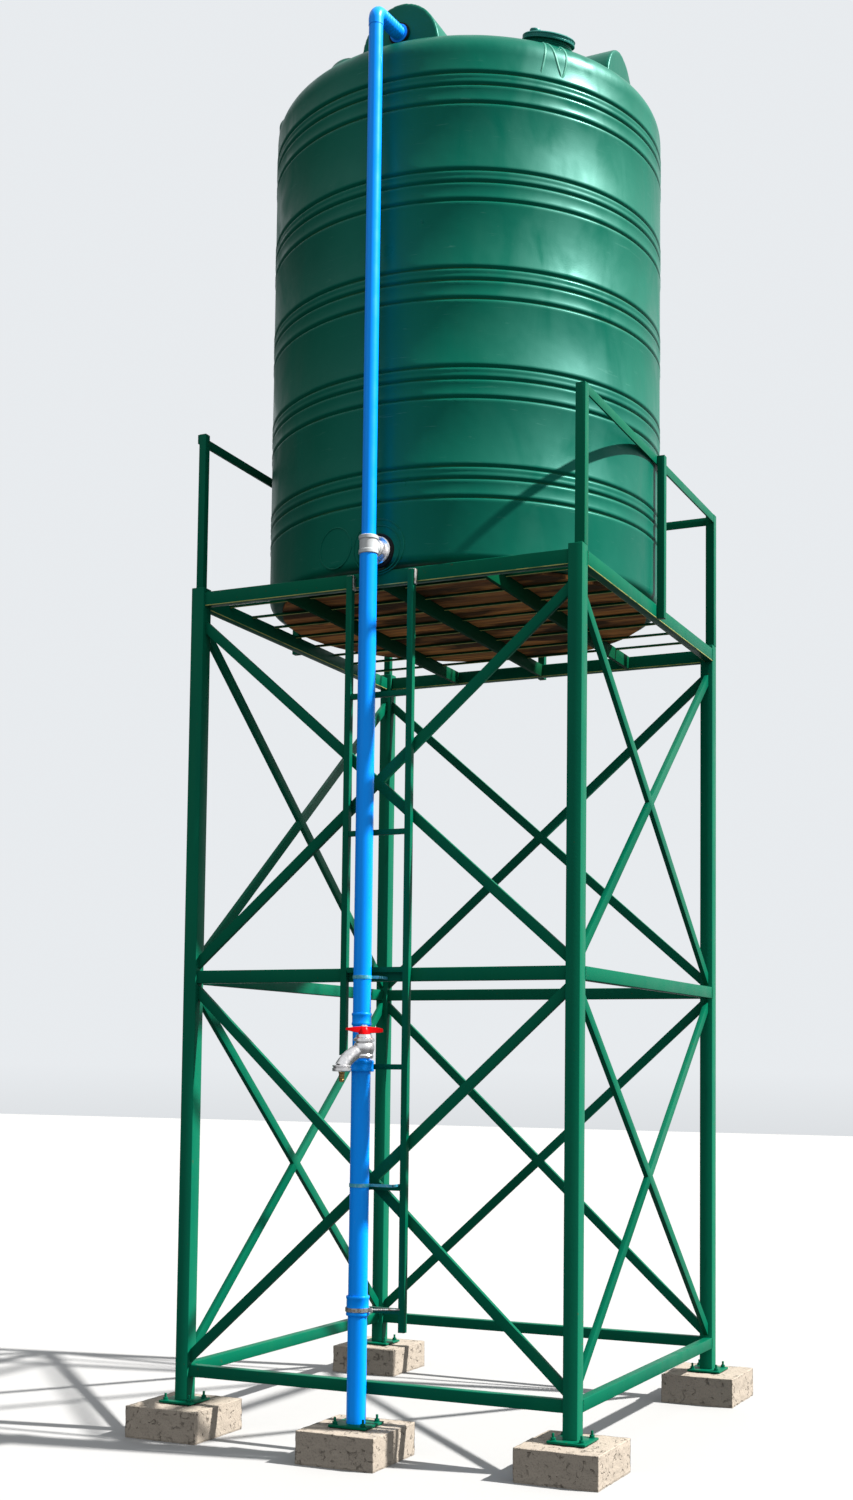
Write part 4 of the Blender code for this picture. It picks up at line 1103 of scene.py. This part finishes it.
wall_ring("outlet_washer", 0.078, 0.012, 0.0, TEE_Z, seal_rubber, -0.004)
wall_ring("outlet_ring_inner", 0.118, 0.0035, 0.0, TEE_Z + 0.01, tank_plastic, 0.0)
wall_ring("outlet_ring_outer", 0.140, 0.0035, 0.0, TEE_Z + 0.02, tank_plastic, 0.0)
wall_ring("spare_ring", 0.105, 0.0035, math.radians(-14.0), TEE_Z + 0.05, tank_plastic, 0.0)

# %% [markdown]
# ## The tap
# A bright casting: a barrel with a flared bonnet and a ring at its foot, a spout that bends over and
# down to a hose ring, and a brass nozzle below. The spout is a round bar bent through a curve, a little
# thinner at its middle. The red lever is a bar with a pointed end and a round end, on a boss that a bright
# screw holds. It rides on the body that turns.

# %% Tap body
TAP_ANGLE = math.radians(-58.0)
TAP_REACH = 0.150
TAP_LEVEL = 1.955
SPOUT_ACROSS = -0.108
SPOUT_OUT = 0.035
SPOUT_RADIUS = 0.0355
tap_out = Vector((math.cos(TAP_ANGLE), math.sin(TAP_ANGLE), 0.0))
tap_across = Vector((-math.sin(TAP_ANGLE), math.cos(TAP_ANGLE), 0.0))
tap_axis = Vector((0.0, RISER_Y, 0.0)) + tap_out * TAP_REACH
barrel_line = [(0.0, 1.913), (0.038, 1.913), (0.044, 1.917), (0.046, 1.926), (0.042, 1.934), (0.045, 1.942)]
barrel_line += [(0.0495, 1.955), (0.0505, 1.972), (0.047, 1.984), (0.040, 1.990), (0.040, 1.993)]
barrel_line += [(0.0505, 1.996), (0.0505, 2.006), (0.047, 2.010), (0.040, 2.014)]
barrel_line += [(0.037, 2.0275), (0.0, 2.0275)]
barrel = lathe("barrel", barrel_line, tap_axis, 40)
nipple_start = Vector((0.0, RISER_Y, TAP_LEVEL)) + tap_out * 0.0446
nipple = rod("nipple", 0.0255, nipple_start, tap_axis + Vector((0.0, 0.0, TAP_LEVEL)), sides=6)
soften(nipple, 0.004, rounds=2, angle=40.0)
spout_end = tap_axis + tap_across * SPOUT_ACROSS + tap_out * SPOUT_OUT
sections = []
SPOUT_STEPS = 12
SPOUT_DROP = 0.083
SPOUT_LIFT = 0.006
for step in range(SPOUT_STEPS + 1):
    share = step / SPOUT_STEPS
    swing = (spout_end - tap_axis) * (0.45 * math.sin(share * math.pi / 2) + 0.55 * share)
    fall = 0.5 * (1 - math.cos(share * math.pi / 2)) + 0.5 * share
    height = TAP_LEVEL + SPOUT_LIFT - (SPOUT_DROP + SPOUT_LIFT) * fall
    waist = 1.0 - 0.04 * math.sin(share * math.pi)
    sections.append((tap_axis + swing + Vector((0.0, 0.0, height)), waist))
spout = bent_rod("spout", [place for place, _ in sections], SPOUT_RADIUS, [waist for _, waist in sections])
ring_line = [(0.0, 1.8505), (0.041, 1.8505), (0.0455, 1.854), (0.0455, 1.866), (0.041, 1.869), (0.041, 1.872)]
ring_line += [(0.0455, 1.874), (0.0455, 1.879), (0.038, 1.8815), (0.0, 1.8815)]
hose_ring = lathe("hose_ring", ring_line, spout_end, 40)
tap_casting = join("tap_casting", [barrel, nipple, spout, hose_ring])
hand_over(tap_casting, tap_metal, ["tap_body"])
nozzle_low, nozzle_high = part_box("tap_nozzle")
nozzle_line = [(0.0, nozzle_low.z), (0.008, nozzle_low.z), (0.011, nozzle_low.z + 0.003)]
for index in range(4):
    height = nozzle_low.z + 0.004 + 0.010 * index
    nozzle_line += [(0.0110 + 0.0005 * index, height), (0.0150, height + 0.0075), (0.0125, height + 0.0085)]
nozzle_line += [(0.0165, nozzle_high.z - 0.004), (0.0165, nozzle_high.z), (0.0, nozzle_high.z)]
nozzle = lathe("hose_nozzle", nozzle_line, spout_end, 32)
hand_over(nozzle, nozzle_brass, ["tap_nozzle"])

# %% Red lever
lever_low, lever_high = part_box("tap_handle")
LEVER_HALF = 0.0158
LEVER_Z = lever_high.z - 0.016
LEVER_REACH = 0.089
lever = slab("lever", (-LEVER_REACH, -0.015, -LEVER_HALF), (LEVER_REACH, 0.015, LEVER_HALF))
pick(lever, "FACE", lambda face: True)
bpy.ops.mesh.subdivide(number_cuts=7)
done()
for corner in lever.data.vertices:
    share = corner.co.x / LEVER_REACH
    if share < 0:
        corner.co.y *= 1 - 0.78 * share * share
        corner.co.z *= 1 - 0.72 * share * share
        corner.co.z += 0.003 * share * share
    else:
        corner.co.y *= 1 - 0.12 * math.sin(share * math.pi) - 0.45 * share ** 6
        corner.co.z *= 1 - 0.18 * share - 0.28 * share ** 6
        corner.co.z -= 0.002 * share
rounded = lever.modifiers.new("rounded", "SUBSURF")
rounded.levels = 1
apply_all(lever)
lever.location = tap_axis + Vector((0.0, 0.0, LEVER_Z))
lever.rotation_euler = (0.0, 0.0, TAP_ANGLE + math.pi / 2)
settle(lever)
BOSS_FOOT = lever_low.z + 0.0002
boss_line = [(0.0, BOSS_FOOT), (0.026, BOSS_FOOT), (0.029, BOSS_FOOT + 0.003), (0.027, LEVER_Z - 0.004)]
boss_line += [(0.020, LEVER_Z + 0.011), (0.016, LEVER_Z + LEVER_HALF), (0.0, LEVER_Z + LEVER_HALF + 0.0003)]
boss = lathe("boss", boss_line, tap_axis, 32)
lever = join("red_lever", [lever, boss])
hand_over(lever, lever_red, ["tap_handle"], body="tap_handle")
SCREW_FOOT = LEVER_Z + LEVER_HALF - 0.001
screw_line = [(0.0, SCREW_FOOT), (0.0165, SCREW_FOOT), (0.0165, SCREW_FOOT + 0.004)]
screw_line += [(0.0125, SCREW_FOOT + 0.008), (0.0, SCREW_FOOT + 0.010)]
screw = lathe("lever_screw", screw_line, tap_axis, 24)
hand_over(screw, tap_metal, body="tap_handle")

# %% [markdown]
# ## Clips and clamps
# Small clips hold the riser to the ladder and the girts. A steel band with a threaded rod holds the
# low socket to the ladder's right stile, pale blue plastic clips sit higher up, and the tops of the
# stiles hang on the front girt by steel hooks, each made of two small plates.

# %% Riser clips
BAND_THICK = 0.003
BAND_EASE = 0.0005


def pipe_band(name, radius, height, tall):
    """A flat band round the riser."""
    wide = radius + BAND_THICK
    band = [(radius, height), (wide, height + BAND_EASE), (wide, height + tall - BAND_EASE)]
    band += [(radius, height + tall), (radius, height)]
    return lathe(name, band, (0.0, RISER_Y), 40)


stile_low, stile_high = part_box("ladder")
STILE_BACK = stile_high.y
STILE_FRONT = stile_low.y
clamp = pipe_band("clamp", 0.0568, 0.700, 0.020)
ear = slab("ear", (0.056, RISER_Y - 0.006, 0.700), (0.080, RISER_Y + 0.006, 0.720))
rod_line = rod("clamp_rod", 0.0045, (0.050, RISER_Y + 0.001, 0.710), (0.185, STILE_FRONT + 0.004, 0.710), 16)
threads = []
thread_start = Vector((0.056, RISER_Y + 0.001, 0.710))
thread_end = Vector((0.170, STILE_FRONT - 0.004, 0.710))
THREADS = 14
step = (thread_end - thread_start).normalized() * 0.0022
for index in range(THREADS):
    place = thread_start.lerp(thread_end, index / (THREADS - 1))
    threads.append(rod("thread", 0.0056, place - step, place + step, 12))
riser_clamp = join("riser_clamp", [clamp, soften(ear, 0.002), rod_line] + threads)
hand_over(riser_clamp, bolt_zinc)

for name, height, radius, reach in (
    ("clip_ring_low", 1.294, 0.0472, 0.172), ("clip_ring_middle", 2.300, 0.0442, 0.085),
):
    foot_low, foot_high = height + 0.002, height + 0.016
    ring = pipe_band(name, radius, height, 0.018)
    arm = slab("arm", (radius - 0.002, RISER_Y + 0.018, foot_low), (reach, RISER_Y + 0.023, foot_high))
    foot = slab("foot", (reach - 0.005, RISER_Y + 0.018, foot_low), (reach, STILE_BACK - 0.001, foot_high))
    clip = join(name, [ring, soften(arm, 0.0015, 1), soften(foot, 0.0015, 1)])
    hand_over(clip, clip_blue)
side_clip = slab("side_clip", (-0.050, RISER_Y + 0.004, 4.308), (-0.0435, RISER_Y + 0.030, 4.352))
strap = slab("strap", (-0.050, RISER_Y + 0.024, 4.320), (-0.0435, STILE_BACK - 0.001, 4.340))
hand_over(join("side_clip", [soften(side_clip, 0.002), soften(strap, 0.0015, 1)]), clip_blue)

# %% Ladder hooks
LADDER_TOP = stile_high.z
for name, x in (("hook_right", stile_high.x - 0.016), ("hook_left", stile_low.x + 0.016)):
    tongue_low = (x - 0.016, STILE_FRONT + 0.004, LADDER_TOP - 0.004)
    tongue = slab("tongue", tongue_low, (x + 0.016, STILE_BACK + 0.010, LADDER_TOP + 0.003))
    leaf_low = (x + 0.0195, STILE_FRONT + 0.002, LADDER_TOP - 0.075)
    leaf = slab("leaf", leaf_low, (x + 0.0235, STILE_BACK - 0.002, LADDER_TOP + 0.002))
    hook = join(name, [soften(tongue, 0.002), soften(leaf, 0.0015)])
    hand_over(hook, bolt_zinc)

# %% [markdown]
# ## Nodes still shown
# The last cell prints every node of the imported model that is still shown.

# %% Finish
for node, piece in frame["nodes"].items():
    if not piece.hide_render:
        print("still shown from the packed model:", node)
